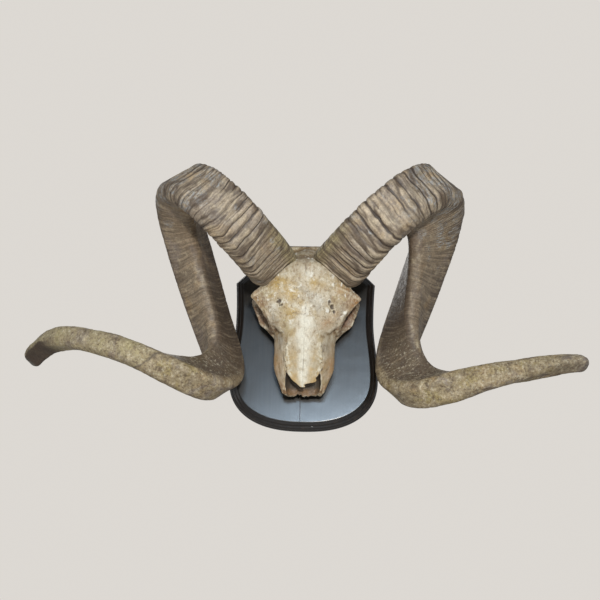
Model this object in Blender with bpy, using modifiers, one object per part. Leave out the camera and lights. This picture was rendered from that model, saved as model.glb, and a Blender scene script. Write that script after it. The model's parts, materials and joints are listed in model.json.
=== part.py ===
"""The bare skull of an argali ram with both horns, on a shield-shaped wall plaque.

A still, life-size model. Sizes below are in millimetres, and the model is in metres.
+X is to the right of someone who faces the plaque, +Y goes into the wall, +Z is up.
The origin is the middle of the plaque's flat back. A height is a distance off the wall, along -Y.
The skull lies with its teeth on the plaque and its nose down. Left and right are the viewer's.
"""

import math

import bmesh
import bpy
import numpy as np
from mathutils import Matrix, Vector

MM = 0.001
GAP = 0.3

# Plaque: a moulded board, 15 1/4 by 11 3/4 inches
PLAQUE_TOP = 194.0
PLAQUE_BOTTOM = -193.5
PLAQUE_THICKNESS = 22.0
PLAQUE_SHOULDER = (66.0, PLAQUE_TOP)
PLAQUE_EAR = (142.0, 110.0)
PLAQUE_WAIST = (139.0, 32.0)
PLAQUE_LOBE = (148.5, -85.0)
LOBE_SQUARENESS = 2.4
# The hollow curve between shoulder and ear is drawn by two pulls
SHOULDER_PULL = (72.0, 165.0)
EAR_PULL = (114.0, 141.0)
# Each step of the moulding: how far in from the edge, and its height
MOULDING = ((0, 0), (0, 8), (2, 10), (4, 14), (9, 16.5), (10, 19.5), (15, PLAQUE_THICKNESS))

# Skull: its middle line on the plaque, and how far it leans clockwise
SKULL_MIDDLE = 3.5
SKULL_LEAN = math.radians(0.9)
# Face, from the broken nose end up to between the eyes:
# level, half widths of roof, cheek and palate, then heights of roof, cheek and palate
FACE = (
    (-138, 23, 40, 31, 81, 66, 50),
    (-128, 26, 43, 32, 92, 68, 46),
    (-110, 29, 48, 35, 104, 71, 42),
    (-84, 33, 58, 38, 113, 73, 42),
    (-50, 33, 59, 39, 124, 74, 42),
    (-15, 32, 60, 40, 138, 78, 43),
    (15, 44, 62, 40, 150, 92, 46),
    (42, 54, 62, 38, 159, 104, 52),
)
# Braincase: level, half width, height of its axis, half height
BRAINCASE = (
    (15, 36, 88, 44),
    (50, 40, 102, 52),
    (85, 42, 106, 58),
    (110, 42, 100, 56),
    (135, 39, 84, 48),
    (152, 33, 70, 38),
    (162, 22, 62, 26),
)
# Frontal bones, one roof from eye to eye: level, half width, heights of ridge and edge, thickness
FRONTALS = (
    (-22, 48, 136, 117, 16),
    (4, 76, 146, 123, 15),
    (20, 87, 152, 128, 13),
    (34, 99, 157, 132, 13),
    (43, 107, 160, 134, 14),
    (47, 105, 162, 135, 17),
    (60, 89, 168, 141, 27),
    (80, 70, 172, 150, 40),
    (104, 48, 170, 154, 40),
    (122, 34, 148, 130, 34),
)
ORBIT_CENTRE = (83.0, 94.0, 14.0)
ORBIT_TURN = math.radians(34.0)
ORBIT_LIFT = math.radians(8.0)
ORBIT_RADIUS = 33.0
ORBIT_RIM = 5.5
SOCKET_MOUTH = 27.5
SOCKET_FLOOR = 14.0
SOCKET_DEPTH = 42.0
SOCKET_DROP = 1.0
# Cheek arch, from below the eye to the ear: points of its axis and its radius at each
CHEEK_ARCH = (
    ((44, 72, -58), 6),
    ((52, 71, -26), 7),
    ((68, 67, -4), 8),
    ((87, 65, 16), 7.5),
    ((85, 68, 46), 6.5),
    ((67, 75, 78), 6.5),
    ((44, 81, 104), 8),
)
# Base of the skull: centre and half sizes of each swelling, in pairs
CONDYLE = ((16, 46, 160), (12, 14, 12))
BULLA = ((26, 44, 118), (10, 14, 17))
NUCHAL_CREST = ((15, 98, 150), (30, 14, 9))
PAROCCIPITAL = (((33, 60, 142), 9), ((35, 42, 143), 6.5), ((35, 16, 141), 4.5))
BRAIN_HOLE = (0, 50, 165)
BRAIN_HOLE_RADIUS = 9.0
BRAIN_HOLE_DEPTH = 20.0
# Open end of the nose, and the passage under the nasal bones:
# level, half width, heights of floor and roof
NOSE_OPENING = ((-160, 32, 61, 150), (-142, 33, 61, 150), (-122, 35, 62, 150), (-98, 33, 64, 150))
NOSE_PASSAGE = ((-125, 28, 64, 92), (-98, 28, 64, 95), (-84, 23, 66, 95), (-70, 15, 70, 90))

# Nasal bones: level and half width at each, and the height of their crest
NASAL_WIDTHS = ((-127, 3), (-117, 16), (-104, 28), (-92, 33), (-76, 36), (-50, 34), (-20, 25), (4, 14))
NASAL_CREST = ((-127, 108), (-60, 124), (4, 149))
NASAL_THICKNESS = 6.0
NASAL_EDGE_DROP = 8.0

# Cheek teeth: where the row starts, and the length of each tooth from front to back
TEETH_START = -104.0
TOOTH_LENGTHS = (11, 12, 13.5, 16, 18, 19)
TOOTH_OVERLAP = 0.5
TOOTH_ROW_FRONT = 26.0
TOOTH_ROW_BACK = 33.0
TOOTH_WIDTH = 13.0
TOOTH_FOOT = PLAQUE_THICKNESS + GAP
TOOTH_NECK = 48.0

# Horns. A horn grows from its root by a curl, towards the back of its section, and a twist, both in
# radians per metre and given at even steps from root to tip, as are its width and its depth over
# its width. Headings are in degrees: the way the root points across the wall, how far towards
# the wall, the turn of the section, and a further turn that grows along the horn.
# The right horn is worked out as a left one and then mirrored.
HORNS = {
    "horn_left": dict(
        mirrored=False,
        root=(-79, -142, 127),
        heading=(184, -71.5, -69.5),
        roll=(12, -32),
        length=1147,
        curl=(-0.3, 11.6, 13.5, 7.0, -0.3, 14.4, 9.5, 1.5, 4.6, 6.1),
        twist=(3.7, 3.2, 4.0, 2.0, 1.6, 6.6, 6.3, 3.1, 3.9, 12.0),
        width=(99, 98, 92, 85, 72, 50, 43, 29),
        depth=(1.01, 0.75, 1.26, 1.20),
    ),
    "horn_right": dict(
        mirrored=True,
        root=(-90, -138, 136),
        heading=(176.5, -71.5, -41.5),
        roll=(-9, -3),
        length=970,
        curl=(-0.7, 12.9, 14.8, 8.0, 1.2, 7.9, 13.9, 2.2, -1.0, 8.6),
        twist=(-0.5, 3.0, 5.7, 3.1, 2.7, 5.9, 8.8, 5.6, 7.6, 3.1),
        width=(106, 97, 97, 86, 74, 60, 42, 29),
        depth=(1.10, 1.25, 1.29, 0.96),
    ),
}
HORN_STEP = 3.0
HORN_SIDES = 20
# Growth ridges: where the first is, how far apart they are at some places along the horn, how high
# at the root, and where they have worn away
RIDGE_START = 7.0
RIDGE_SPACING = ((0, 25), (110, 17), (210, 12), (310, 9), (450, 8))
RIDGE_HEIGHT = 2.4
RIDGES_END = 450.0
SMOOTH_SPACING = 24.0
TIP_ROUNDING = 0.5
ROUNDER = (0.52, 0.82)
# The horn's bony core: how far past the horn's rim it starts, how much thinner than the horn it is,
# and where in the skull it ends
CORE_PAST_RIM = 6.0
CORE_INSET = 2.0
CORE_ROOT = (34.0, 92.0, 104.0)
# Room cut in the skull round a horn
HORN_ROOM = 3.0
HORN_ROOM_LENGTH = 75.0

# The skull's skin: fineness of its grid, rounds of softening, and how many triangles it keeps
SKULL_VOXEL = 2.6
SKULL_ROUNDING = 5
SKULL_TRIANGLES = 4200

BONE = (0.62, 0.52, 0.36)
TOOTH = (0.60, 0.50, 0.34)
HORN = (0.21, 0.16, 0.11)
BOARD = (0.035, 0.030, 0.028)


def clear_scene():
    for item in list(bpy.data.objects):
        bpy.data.objects.remove(item, do_unlink=True)


def new_collection(name):
    group = bpy.data.collections.new(name)
    bpy.context.scene.collection.children.link(group)
    return group


def material(name, colour, roughness, metallic=0.0):
    surface = bpy.data.materials.new(name)
    surface.use_nodes = True
    shader = surface.node_tree.nodes["Principled BSDF"]
    shader.inputs["Base Color"].default_value = (*colour, 1.0)
    shader.inputs["Roughness"].default_value = roughness
    shader.inputs["Metallic"].default_value = metallic
    surface.diffuse_color = (*colour, 1.0)
    return surface


def smooth(table, level):
    """The row at a level, on a smooth curve through the rows of the table."""
    rows = np.asarray(table, float)
    levels = rows[:, 0]
    slopes = np.gradient(rows, levels, axis=0)
    i = int(np.clip(np.searchsorted(levels, level) - 1, 0, len(levels) - 2))
    gap = levels[i + 1] - levels[i]
    t = (level - levels[i]) / gap
    start = (2 * t**3 - 3 * t**2 + 1) * rows[i] + (t**3 - 2 * t**2 + t) * gap * slopes[i]
    end = (3 * t**2 - 2 * t**3) * rows[i + 1] + (t**3 - t**2) * gap * slopes[i + 1]
    return start + end


def levels_of(table, step):
    first = table[0][0]
    last = table[-1][0]
    return np.linspace(first, last, max(2, round((last - first) / step) + 1))


def even_table(values):
    """Values at even steps from 0 to 1, as a table for smooth()."""
    return np.column_stack([np.linspace(0, 1, len(values)), values])


def smooth_loop(corners, count):
    """A closed Catmull-Rom curve through the corners, as points at even steps."""
    corners = np.asarray(corners, float)
    number = len(corners)
    points = []
    for step in np.arange(count) * number / count:
        i = int(step)
        t = step - i
        a, b, c, d = (corners[(i + k) % number] for k in (-1, 0, 1, 2))
        turn = 2 * b + (c - a) * t + (2 * a - 5 * b + 4 * c - d) * t**2 + (3 * b - a - 3 * c + d) * t**3
        points.append(turn / 2)
    return np.array(points)


def place(across, height, level):
    """A point of the model from its place on the skull: across its middle line, height and level."""
    along_x = SKULL_MIDDLE + across * math.cos(SKULL_LEAN) + level * math.sin(SKULL_LEAN)
    along_z = level * math.cos(SKULL_LEAN) - across * math.sin(SKULL_LEAN)
    return (along_x, -height, along_z)


def object_from(name, bm, group):
    bmesh.ops.recalc_face_normals(bm, faces=bm.faces)
    if bm.calc_volume(signed=True) < 0:
        bmesh.ops.reverse_faces(bm, faces=bm.faces)
    mesh = bpy.data.meshes.new(name)
    bm.to_mesh(mesh)
    bm.free()
    item = bpy.data.objects.new(name, mesh)
    group.objects.link(item)
    return item


def loft(name, rings, group):
    """A closed body through rings of points, with flat ends."""
    bm = bmesh.new()
    loops = [[bm.verts.new(Vector(point) * MM) for point in ring] for ring in rings]
    sides = len(loops[0])
    for low, high in zip(loops, loops[1:]):
        for i in range(sides):
            j = (i + 1) % sides
            bm.faces.new((low[i], low[j], high[j], high[i]))
    bm.faces.new(loops[0][::-1])
    bm.faces.new(loops[-1])
    return object_from(name, bm, group)


def ellipsoid(name, centre, sizes, group, sides=24):
    bm = bmesh.new()
    middle = Matrix.Translation(Vector(place(*centre)) * MM)
    across, height, along = sizes
    scale = Matrix.Diagonal((across * MM, height * MM, along * MM, 1))
    bmesh.ops.create_uvsphere(bm, u_segments=sides, v_segments=sides // 2, radius=1, matrix=middle @ scale)
    return object_from(name, bm, group)


def box(name, low, high, group):
    """A box between two corners given as across, height and level."""
    bm = bmesh.new()
    bmesh.ops.create_cube(bm, size=1)
    low = np.array(low, float)
    high = np.array(high, float)
    for vert in bm.verts:
        at = low + (np.array(vert.co) + 0.5) * (high - low)
        vert.co = Vector(place(*at)) * MM
    return object_from(name, bm, group)


def tube(name, path, group, sides=14):
    """A round bar along a path of (centre, radius) pairs."""
    table = np.array([(i, *place(*centre), radius) for i, (centre, radius) in enumerate(path)])
    rows = np.array([smooth(table, step) for step in np.linspace(0, len(path) - 1, 4 * len(path))])
    rings = []
    for row, along in zip(rows, np.gradient(rows[:, 1:4], axis=0)):
        across = np.cross(along, (0.0, 1.0, 0.3))
        across /= np.linalg.norm(across)
        up = np.cross(along, across)
        up /= np.linalg.norm(up)
        turns = np.arange(sides) * 2 * math.pi / sides
        rings.append([row[1:4] + row[4] * (math.cos(a) * across + math.sin(a) * up) for a in turns])
    return loft(name, rings, group)


def evaluated_mesh(item):
    graph = bpy.context.evaluated_depsgraph_get()
    return bpy.data.meshes.new_from_object(item.evaluated_get(graph), depsgraph=graph)


def apply_modifiers(item):
    bpy.context.view_layer.update()
    mesh = evaluated_mesh(item)
    item.modifiers.clear()
    item.data = mesh


def keep_largest(item):
    """Leaves only the largest closed surface of the mesh."""
    bm = bmesh.new()
    bm.from_mesh(item.data)
    seen = set()
    bodies = []
    for vert in bm.verts:
        if vert in seen:
            continue
        body = [vert]
        seen.add(vert)
        for corner in body:
            for edge in corner.link_edges:
                other = edge.other_vert(corner)
                if other not in seen:
                    seen.add(other)
                    body.append(other)
        bodies.append(body)
    bodies.sort(key=len)
    loose = [vert for body in bodies[:-1] for vert in body]
    bmesh.ops.delete(bm, geom=loose, context="VERTS")
    bm.to_mesh(item.data)
    bm.free()


def combine(item, others, operation):
    """Cuts the objects of a collection from an item, or joins them to it."""
    for other in others.objects:
        other.hide_render = True
        other.display_type = "WIRE"
    boolean = item.modifiers.new("combine", "BOOLEAN")
    boolean.operation = operation
    boolean.operand_type = "COLLECTION"
    boolean.collection = others
    apply_modifiers(item)
    keep_largest(item)


def fuse(name, pieces, voxel, rounding, group):
    """One closed surface over all the pieces of a collection."""
    bm = bmesh.new()
    for piece in pieces.objects:
        bm.from_mesh(piece.data)
    item = object_from(name, bm, group)
    remesh = item.modifiers.new("skin", "REMESH")
    remesh.mode = "VOXEL"
    remesh.voxel_size = voxel * MM
    soften = item.modifiers.new("soften", "SMOOTH")
    soften.factor = 0.5
    soften.iterations = rounding
    apply_modifiers(item)
    keep_largest(item)
    return item


def simplify(item, triangles):
    decimate = item.modifiers.new("fewer faces", "DECIMATE")
    now = sum(len(face.vertices) - 2 for face in item.data.polygons)
    decimate.ratio = min(1.0, triangles / now)
    apply_modifiers(item)


def remove_collection(group):
    for item in list(group.objects):
        bpy.data.objects.remove(item, do_unlink=True)
    bpy.data.collections.remove(group)


# Plaque


def plaque_outline(inset):
    """The plaque's edge moved inwards, as (across, level) points down the right side and up the left."""
    shoulder = np.array(PLAQUE_SHOULDER) - inset * np.array([0.81, 1.0])
    ear = np.array(PLAQUE_EAR) - inset * np.array([1.02, 0.36])
    pull_a = np.array(SHOULDER_PULL) - inset * np.array([0.93, 0.37])
    pull_b = np.array(EAR_PULL) - inset * np.array([0.74, 0.67])
    right = []
    for t in np.linspace(0, 1, 9):
        s = 1 - t
        right.append(s**3 * shoulder + 3 * s**2 * t * pull_a + 3 * s * t**2 * pull_b + t**3 * ear)
    waist, waist_level = PLAQUE_WAIST
    lobe, lobe_level = PLAQUE_LOBE
    for level in np.linspace(ear[1], lobe_level, 12)[1:-1]:
        if level > waist_level:
            part = (level - waist_level) / (PLAQUE_EAR[1] - waist_level)
            out = waist + (PLAQUE_EAR[0] - waist) * part**2
        else:
            part = (waist_level - level) / (waist_level - lobe_level)
            out = waist + (lobe - waist) * (1 - math.cos(math.pi * part)) / 2
        right.append((out - inset, level))
    depth = lobe_level - PLAQUE_BOTTOM - inset
    for turn in np.linspace(0, math.pi / 2, 15):
        across = (lobe - inset) * math.cos(turn) ** (2 / LOBE_SQUARENESS)
        right.append((across, lobe_level - depth * math.sin(turn) ** (2 / LOBE_SQUARENESS)))
    right[-1] = (0.0, PLAQUE_BOTTOM + inset)
    left = [(-across, level) for across, level in right[-2::-1]]
    return right + left


def make_plaque(group):
    rings = [[(x, -height, z) for x, z in plaque_outline(inset)] for inset, height in MOULDING]
    return loft("plaque", rings, group)


# Horns


def turned(vector, axis, angle):
    """The vector turned about a unit axis."""
    side = np.cross(axis, vector) * math.sin(angle)
    return vector * math.cos(angle) + side + axis * (axis @ vector) * (1 - math.cos(angle))


def first_frame(heading):
    """The root's direction, and the back and the side of its section."""
    way, lift, turn = (math.radians(angle) for angle in heading)
    along = np.array([math.cos(lift) * math.cos(way), math.sin(lift), math.cos(lift) * math.sin(way)])
    back = np.array([0.0, 1.0, 0.0]) - along * along[1]
    back /= np.linalg.norm(back)
    back = math.cos(turn) * back + math.sin(turn) * np.cross(along, back)
    return along, back


def horn_axis(horn):
    """Distance along the horn, point, direction and back of the section, step by step to the tip."""
    steps = round(horn["length"] / HORN_STEP)
    step = horn["length"] / steps
    curl = even_table(horn["curl"])
    twist = even_table(horn["twist"])
    point = np.array(horn["root"], float)
    along, back = first_frame(horn["heading"])
    rows = []
    for i in range(steps + 1):
        rows.append((i * step, point.copy(), along, back))
        place_along = (i + 0.5) / (steps + 1)
        spin = smooth(twist, place_along)[1] * along + smooth(curl, place_along)[1] * np.cross(along, back)
        angle = np.linalg.norm(spin) * step * MM
        axis = spin / np.linalg.norm(spin)
        ahead = turned(along, axis, angle)
        point += (along + ahead) / 2 * step
        back = turned(back, axis, angle)
        along = ahead
    return rows


def horn_section(width, depth, old, sides):
    """A triangle as (back, side) points, with rounded corners that are softer on the old end of the horn."""
    front_edge = back_edge = (0.20 + 0.08 * old) * width
    top_edge = (0.10 + 0.16 * old) * width
    corners = np.array(
        [
            (-0.5 * depth + front_edge, 0.5 * width - front_edge),
            (0.5 * depth - back_edge, 0.0),
            (-0.5 * depth + top_edge, -0.5 * width + top_edge),
        ]
    )
    radii = np.array([front_edge, back_edge, top_edge])
    turns = np.linspace(0, 2 * math.pi, 180, endpoint=False)
    spokes = np.column_stack([np.cos(turns), np.sin(turns)])
    nearest = (spokes @ corners.T + radii).argmax(axis=1)
    edge = corners[nearest] + radii[nearest][:, None] * spokes
    edge[:, 0] -= 0.06 * depth * np.clip(-np.cos(turns), 0, None) ** 2
    closed = np.vstack([edge, edge[:1]])
    run = np.concatenate([[0], np.cumsum(np.linalg.norm(np.diff(closed, axis=0), axis=1))])
    marks = np.arange(sides) * run[-1] / sides
    return np.column_stack([np.interp(marks, run, closed[:, k]) for k in (0, 1)])


def horn_stations(length):
    """Places along the horn for its rings, and how far each stands out as a ridge or in as a groove."""
    stations = [(0.0, 0.0)]
    at = RIDGE_START
    rise = 1
    while at < RIDGES_END:
        fading = 1 - at / RIDGES_END
        stations.append((at, rise * RIDGE_HEIGHT * (0.25 + 0.75 * fading)))
        at += np.interp(at, *zip(*RIDGE_SPACING)) / 2
        rise = -rise
    rest = length - at
    count = round(rest / SMOOTH_SPACING)
    for i in range(count):
        stations.append((at + i * rest / count, 0.0))
    last = stations[-1][0]
    for part in (0.45, 0.75, 0.92, 1.0):
        stations.append((last + part * (length - last), 0.0))
    return stations


def horn_ring(horn, row, ridge=0.0, room=0.0):
    """The horn's section at one row of its axis, as points of the model."""
    at, point, along, back = row
    part = at / horn["length"]
    width = smooth(even_table(horn["width"]), part)[1]
    depth = width * smooth(even_table(horn["depth"]), part)[1]
    section = horn_section(width, depth, np.interp(part, ROUNDER, (0, 1)), HORN_SIDES)
    turn = math.radians(horn["roll"][0] + (horn["roll"][1] - horn["roll"][0]) * part)
    tip = TIP_ROUNDING * horn["width"][-1]
    near_tip = max(0.0, at - (horn["length"] - tip)) / tip
    section *= math.sqrt(max(0.06, 1 - near_tip**2))
    reach = np.linalg.norm(section, axis=1)
    front = 0.5 - 0.5 * section[:, 0] / reach
    section *= ((reach + room + ridge * (0.3 + 0.7 * front)) / reach)[:, None]
    side = np.cross(along, back)
    to_back = section[:, 0] * math.cos(turn) - section[:, 1] * math.sin(turn)
    to_side = section[:, 0] * math.sin(turn) + section[:, 1] * math.cos(turn)
    ring = point + to_back[:, None] * back + to_side[:, None] * side
    if horn["mirrored"]:
        ring = ring * (-1, 1, 1)
    return ring


def make_horn(name, horn, group):
    axis = horn_axis(horn)
    rings = []
    for at, ridge in horn_stations(horn["length"]):
        row = min(axis, key=lambda step: abs(step[0] - at))
        rings.append(horn_ring(horn, row, ridge))
    return loft(name, rings, group)


def base_row(horn, back_by):
    """The root's row of the axis, moved along the horn's first direction."""
    along, back = first_frame(horn["heading"])
    return (0.0, np.array(horn["root"], float) + along * back_by, along, back)


def make_horn_core(name, horn, group):
    """The bone that fills the horn's root, narrowing into the side of the skull."""
    rings = [horn_ring(horn, base_row(horn, past), room=-CORE_INSET) for past in (CORE_PAST_RIM, 0, -8)]
    side = 1 if horn["mirrored"] else -1
    root = np.array(place(side * CORE_ROOT[0], *CORE_ROOT[1:]))
    first = rings[-1]
    middle = first.mean(axis=0)
    for part, size in ((0.35, 0.88), (0.7, 0.72), (1.0, 0.6)):
        centre = middle + (root - middle) * part
        rings.append(centre + (first - middle) * size)
    return loft(name, rings, group)


def make_horn_room(name, horn, group):
    """The space that a horn's first stretch takes, with a little room round it."""
    axis = horn_axis(horn)
    rings = [horn_ring(horn, base_row(horn, -GAP), room=HORN_ROOM)]
    count = round(HORN_ROOM_LENGTH / HORN_STEP)
    for row in axis[3:count:3]:
        rings.append(horn_ring(horn, row, room=HORN_ROOM))
    return loft(name, rings, group)


# Skull


def mirrored_loop(half, count):
    """A closed curve from its right half, listed from the top of the middle line to its bottom."""
    other = [(-across, height) for across, height in half[-2:0:-1]]
    return smooth_loop(list(half) + other, count)


def make_face(group):
    rings = []
    for at in levels_of(FACE, 12):
        level, roof, cheek, palate, top, middle, under = smooth(FACE, at)
        half = (
            (0, top),
            (roof * 0.75, top - 2),
            (roof + 3, top - 8),
            ((roof + cheek) / 2 + 2, (top + middle) / 2),
            (cheek, middle),
            (palate, under),
            (0, under + 4),
        )
        rings.append([place(across, height, level) for across, height in mirrored_loop(half, 28)])
    return loft("face", rings, group)


def make_braincase(group):
    rings = []
    turns = np.arange(24) * 2 * math.pi / 24
    for at in levels_of(BRAINCASE, 12):
        level, half, axis, rise = smooth(BRAINCASE, at)
        rings.append([place(half * math.sin(a), axis + rise * math.cos(a), level) for a in turns])
    return loft("braincase", rings, group)


def make_frontals(group):
    rings = []
    for at in levels_of(FRONTALS, 8):
        level, wide, ridge, edge, thick = smooth(FRONTALS, at)
        half = (
            (0, ridge),
            (0.5 * wide, ridge - 0.2 * (ridge - edge)),
            (0.85 * wide, ridge - 0.7 * (ridge - edge)),
            (wide, edge - 0.3 * thick),
            (0.75 * wide, edge - thick),
            (0, ridge - thick - 14),
        )
        rings.append([place(across, height, level) for across, height in mirrored_loop(half, 28)])
    return loft("frontals", rings, group)


def orbit_axes(side):
    """The way an eye looks, and two directions across its rim."""
    level = np.array([side * math.cos(ORBIT_TURN), 0.0, -math.sin(ORBIT_TURN)])
    along = np.array([side * math.sin(ORBIT_TURN), 0.0, math.cos(ORBIT_TURN)])
    off_wall = np.array([0.0, -1.0, 0.0])
    outward = math.cos(ORBIT_LIFT) * level + math.sin(ORBIT_LIFT) * off_wall
    up = math.cos(ORBIT_LIFT) * off_wall - math.sin(ORBIT_LIFT) * level
    return outward, along, up


def orbit_ring(side, radius, depth, drop=0.0, sides=28):
    """A ring round the eye's axis, at a depth below its rim, or moved down towards the wall."""
    outward, along, up = orbit_axes(side)
    middle = np.array(place(side * ORBIT_CENTRE[0], *ORBIT_CENTRE[1:])) - outward * depth - up * drop
    turns = np.arange(sides) * 2 * math.pi / sides
    return [middle + radius * (math.cos(a) * along + math.sin(a) * up) for a in turns]


def make_orbit(side, group):
    """The cup of bone round an eye, open in front once the socket is cut."""
    sizes = ((ORBIT_RADIUS - 4, -3), (ORBIT_RADIUS + ORBIT_RIM - 1, -1), (ORBIT_RADIUS + ORBIT_RIM, 4))
    inner = ((ORBIT_RADIUS + 2, 12), (ORBIT_RADIUS - 3, 26), (ORBIT_RADIUS - 9, 44))
    return loft("orbit", [orbit_ring(side, radius, depth) for radius, depth in sizes + inner], group)


def make_socket(side, group):
    """The hollow of an eye, a rounded cone that flares a little at its mouth."""
    middle = (SOCKET_MOUTH + SOCKET_FLOOR) / 2 + 3
    sizes = (
        (SOCKET_MOUTH + 3, -20),
        (SOCKET_MOUTH, 0),
        (middle, SOCKET_DEPTH * 0.65),
        (SOCKET_FLOOR, SOCKET_DEPTH),
    )
    return loft("socket", [orbit_ring(side, radius, depth, SOCKET_DROP) for radius, depth in sizes], group)


def mirrored_part(builder, name, path, group):
    """A paired piece of the skull, built on both sides."""
    for side in (-1, 1):
        if builder is tube:
            tube(name, [((side * c[0], c[1], c[2]), radius) for c, radius in path], group)
        else:
            centre, sizes = path
            ellipsoid(name, (side * centre[0], centre[1], centre[2]), sizes, group)


def make_skull_pieces(group):
    make_face(group)
    make_braincase(group)
    make_frontals(group)
    for side in (-1, 1):
        make_orbit(side, group)
    mirrored_part(tube, "cheek arch", CHEEK_ARCH, group)
    mirrored_part(tube, "paroccipital", PAROCCIPITAL, group)
    mirrored_part(ellipsoid, "condyle", CONDYLE, group)
    mirrored_part(ellipsoid, "bulla", BULLA, group)
    mirrored_part(ellipsoid, "nuchal crest", NUCHAL_CREST, group)
    for name, horn in HORNS.items():
        make_horn_core(name + " core", horn, group)


def make_passage(name, table, group):
    """A hollow with a rounded floor and a flat roof."""
    rings = []
    for level, wide, floor, roof in table:
        middle = (floor + roof) / 2
        half = ((0, roof), (wide, roof), (wide, middle), (0.8 * wide, floor + 5), (0, floor))
        rings.append([place(across, height, level) for across, height in mirrored_loop(half, 24)])
    return loft(name, rings, group)


def make_hollows(group):
    """What is open in the skull: eye sockets, the nose's end and the hole for the spinal cord."""
    for side in (-1, 1):
        make_socket(side, group)
    make_passage("nose opening", NOSE_OPENING, group)
    make_passage("nose passage", NOSE_PASSAGE, group)
    across, height, level = BRAIN_HOLE
    ends = ((across, height, level - BRAIN_HOLE_DEPTH), (across, height, level + BRAIN_HOLE_DEPTH))
    tube("brain hole", [(end, BRAIN_HOLE_RADIUS) for end in ends], group)


def nasal_ring(level, inner, room, roof_extra=0.0, sides=6):
    """The section of a nasal bone from its inner edge out, at one level."""
    half = smooth(NASAL_WIDTHS, level)[1] + room
    crest = smooth(NASAL_CREST, level)[1]
    reach = np.linspace(inner, half, sides)
    fall = NASAL_EDGE_DROP * (reach / 28) ** 2
    top = [(x, crest - drop + room + roof_extra) for x, drop in zip(reach, fall)]
    bottom = [(x, crest - drop - NASAL_THICKNESS - room) for x, drop in zip(reach, fall)]
    return top + bottom[::-1]


def nasal_levels(room):
    levels = levels_of(NASAL_WIDTHS, 11)
    levels[0] -= room
    levels[-1] += room
    return levels


def make_nasal_bone(name, side, group):
    rings = []
    for level in nasal_levels(0):
        ring = nasal_ring(level, GAP / 2, 0)
        rings.append([place(side * across, height, level) for across, height in ring])
    return loft(name, rings, group)


def make_nasal_room(group):
    rings = []
    for level in nasal_levels(GAP):
        right = nasal_ring(level, 0, GAP, roof_extra=12)
        left = [(-across, height) for across, height in right[-2:0:-1]]
        rings.append([place(across, height, level) for across, height in right + left])
    return loft("nasal room", rings, group)


def teeth():
    """The level of the middle of each tooth, its place across and its length."""
    row = sum(TOOTH_LENGTHS)
    start = TEETH_START
    for length in TOOTH_LENGTHS:
        level = start + length / 2
        part = (level - TEETH_START) / row
        yield level, TOOTH_ROW_FRONT + (TOOTH_ROW_BACK - TOOTH_ROW_FRONT) * part, length
        start += length


def make_tooth(name, side, tooth, room, group):
    """One cheek tooth, two lobes long, from its worn crown on the plaque to its neck."""
    rings = []
    foot = TOOTH_FOOT - 6 * (room > 0)
    level, middle, length = tooth
    for height, size in ((foot, 0.92), (30, 1.0), (TOOTH_NECK - 6, 0.94), (TOOTH_NECK + room, 0.88)):
        ring = []
        for turn in np.arange(16) * 2 * math.pi / 16:
            along = math.copysign(abs(math.sin(turn)) ** 0.6, math.sin(turn))
            across = math.copysign(abs(math.cos(turn)) ** 0.6, math.cos(turn))
            lobes = 1 + 0.10 * math.cos(2 * math.pi * along)
            x = middle + across * (TOOTH_WIDTH / 2 * size * lobes + room)
            z = level + along * (length / 2 + TOOTH_OVERLAP + room)
            ring.append(place(side * x, height, z))
        rings.append(ring)
    return loft(name, rings, group)


def make_tooth_row(name, side, group):
    others = new_collection(name + " others")
    first = None
    for tooth in teeth():
        made = make_tooth(name, side, tooth, 0.0, group if first is None else others)
        first = first or made
    combine(first, others, "UNION")
    remove_collection(others)
    return first


def make_rooms(group):
    """What the skull's bone leaves free for its neighbours: the horns, nasal bones, teeth and plaque."""
    for name, horn in HORNS.items():
        make_horn_room(name + " room", horn, group)
    make_nasal_room(group)
    for side in (-1, 1):
        for tooth in teeth():
            make_tooth("tooth room", side, tooth, GAP, group)
    box("plaque room", (-200, -20, -260), (200, PLAQUE_THICKNESS + GAP, 260), group)


def make_skull(group):
    pieces = new_collection("skull pieces")
    make_skull_pieces(pieces)
    skull = fuse("skull", pieces, SKULL_VOXEL, SKULL_ROUNDING, group)
    remove_collection(pieces)
    hollows = new_collection("hollows")
    make_hollows(hollows)
    combine(skull, hollows, "DIFFERENCE")
    remove_collection(hollows)
    simplify(skull, SKULL_TRIANGLES)
    rooms = new_collection("rooms")
    make_rooms(rooms)
    combine(skull, rooms, "DIFFERENCE")
    remove_collection(rooms)
    return skull


def main():
    clear_scene()
    group = new_collection("argali_skull")
    bone = material("bone", BONE, 0.6)
    tooth = material("tooth", TOOTH, 0.35)
    horn_surface = material("horn", HORN, 0.55)
    board = material("board", BOARD, 0.3)
    dressed = [(make_plaque(group), board), (make_skull(group), bone)]
    for name, side in (("left", -1), ("right", 1)):
        dressed.append((make_nasal_bone("nasal_bone_" + name, side, group), bone))
        dressed.append((make_tooth_row("tooth_row_" + name, side, group), tooth))
    for name, horn in HORNS.items():
        dressed.append((make_horn(name, horn, group), horn_surface))
    for item, surface in dressed:
        item.data.materials.clear()
        item.data.materials.append(surface)


main()
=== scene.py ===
"""Looks for the mounted argali skull: weathered ridged horns, stained old bone, a varnished plaque.

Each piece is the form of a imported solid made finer, from the same driving values, and stands in for
it. Lengths are in millimetres unless a comment says otherwise. Left and right are the viewer's.
Across is along X, level is along Z, and height is forward from the board's flat back, along -Y.
"""

import json
import math

import bmesh
import bpy
import numpy as np
from mathutils import Matrix, Vector

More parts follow.
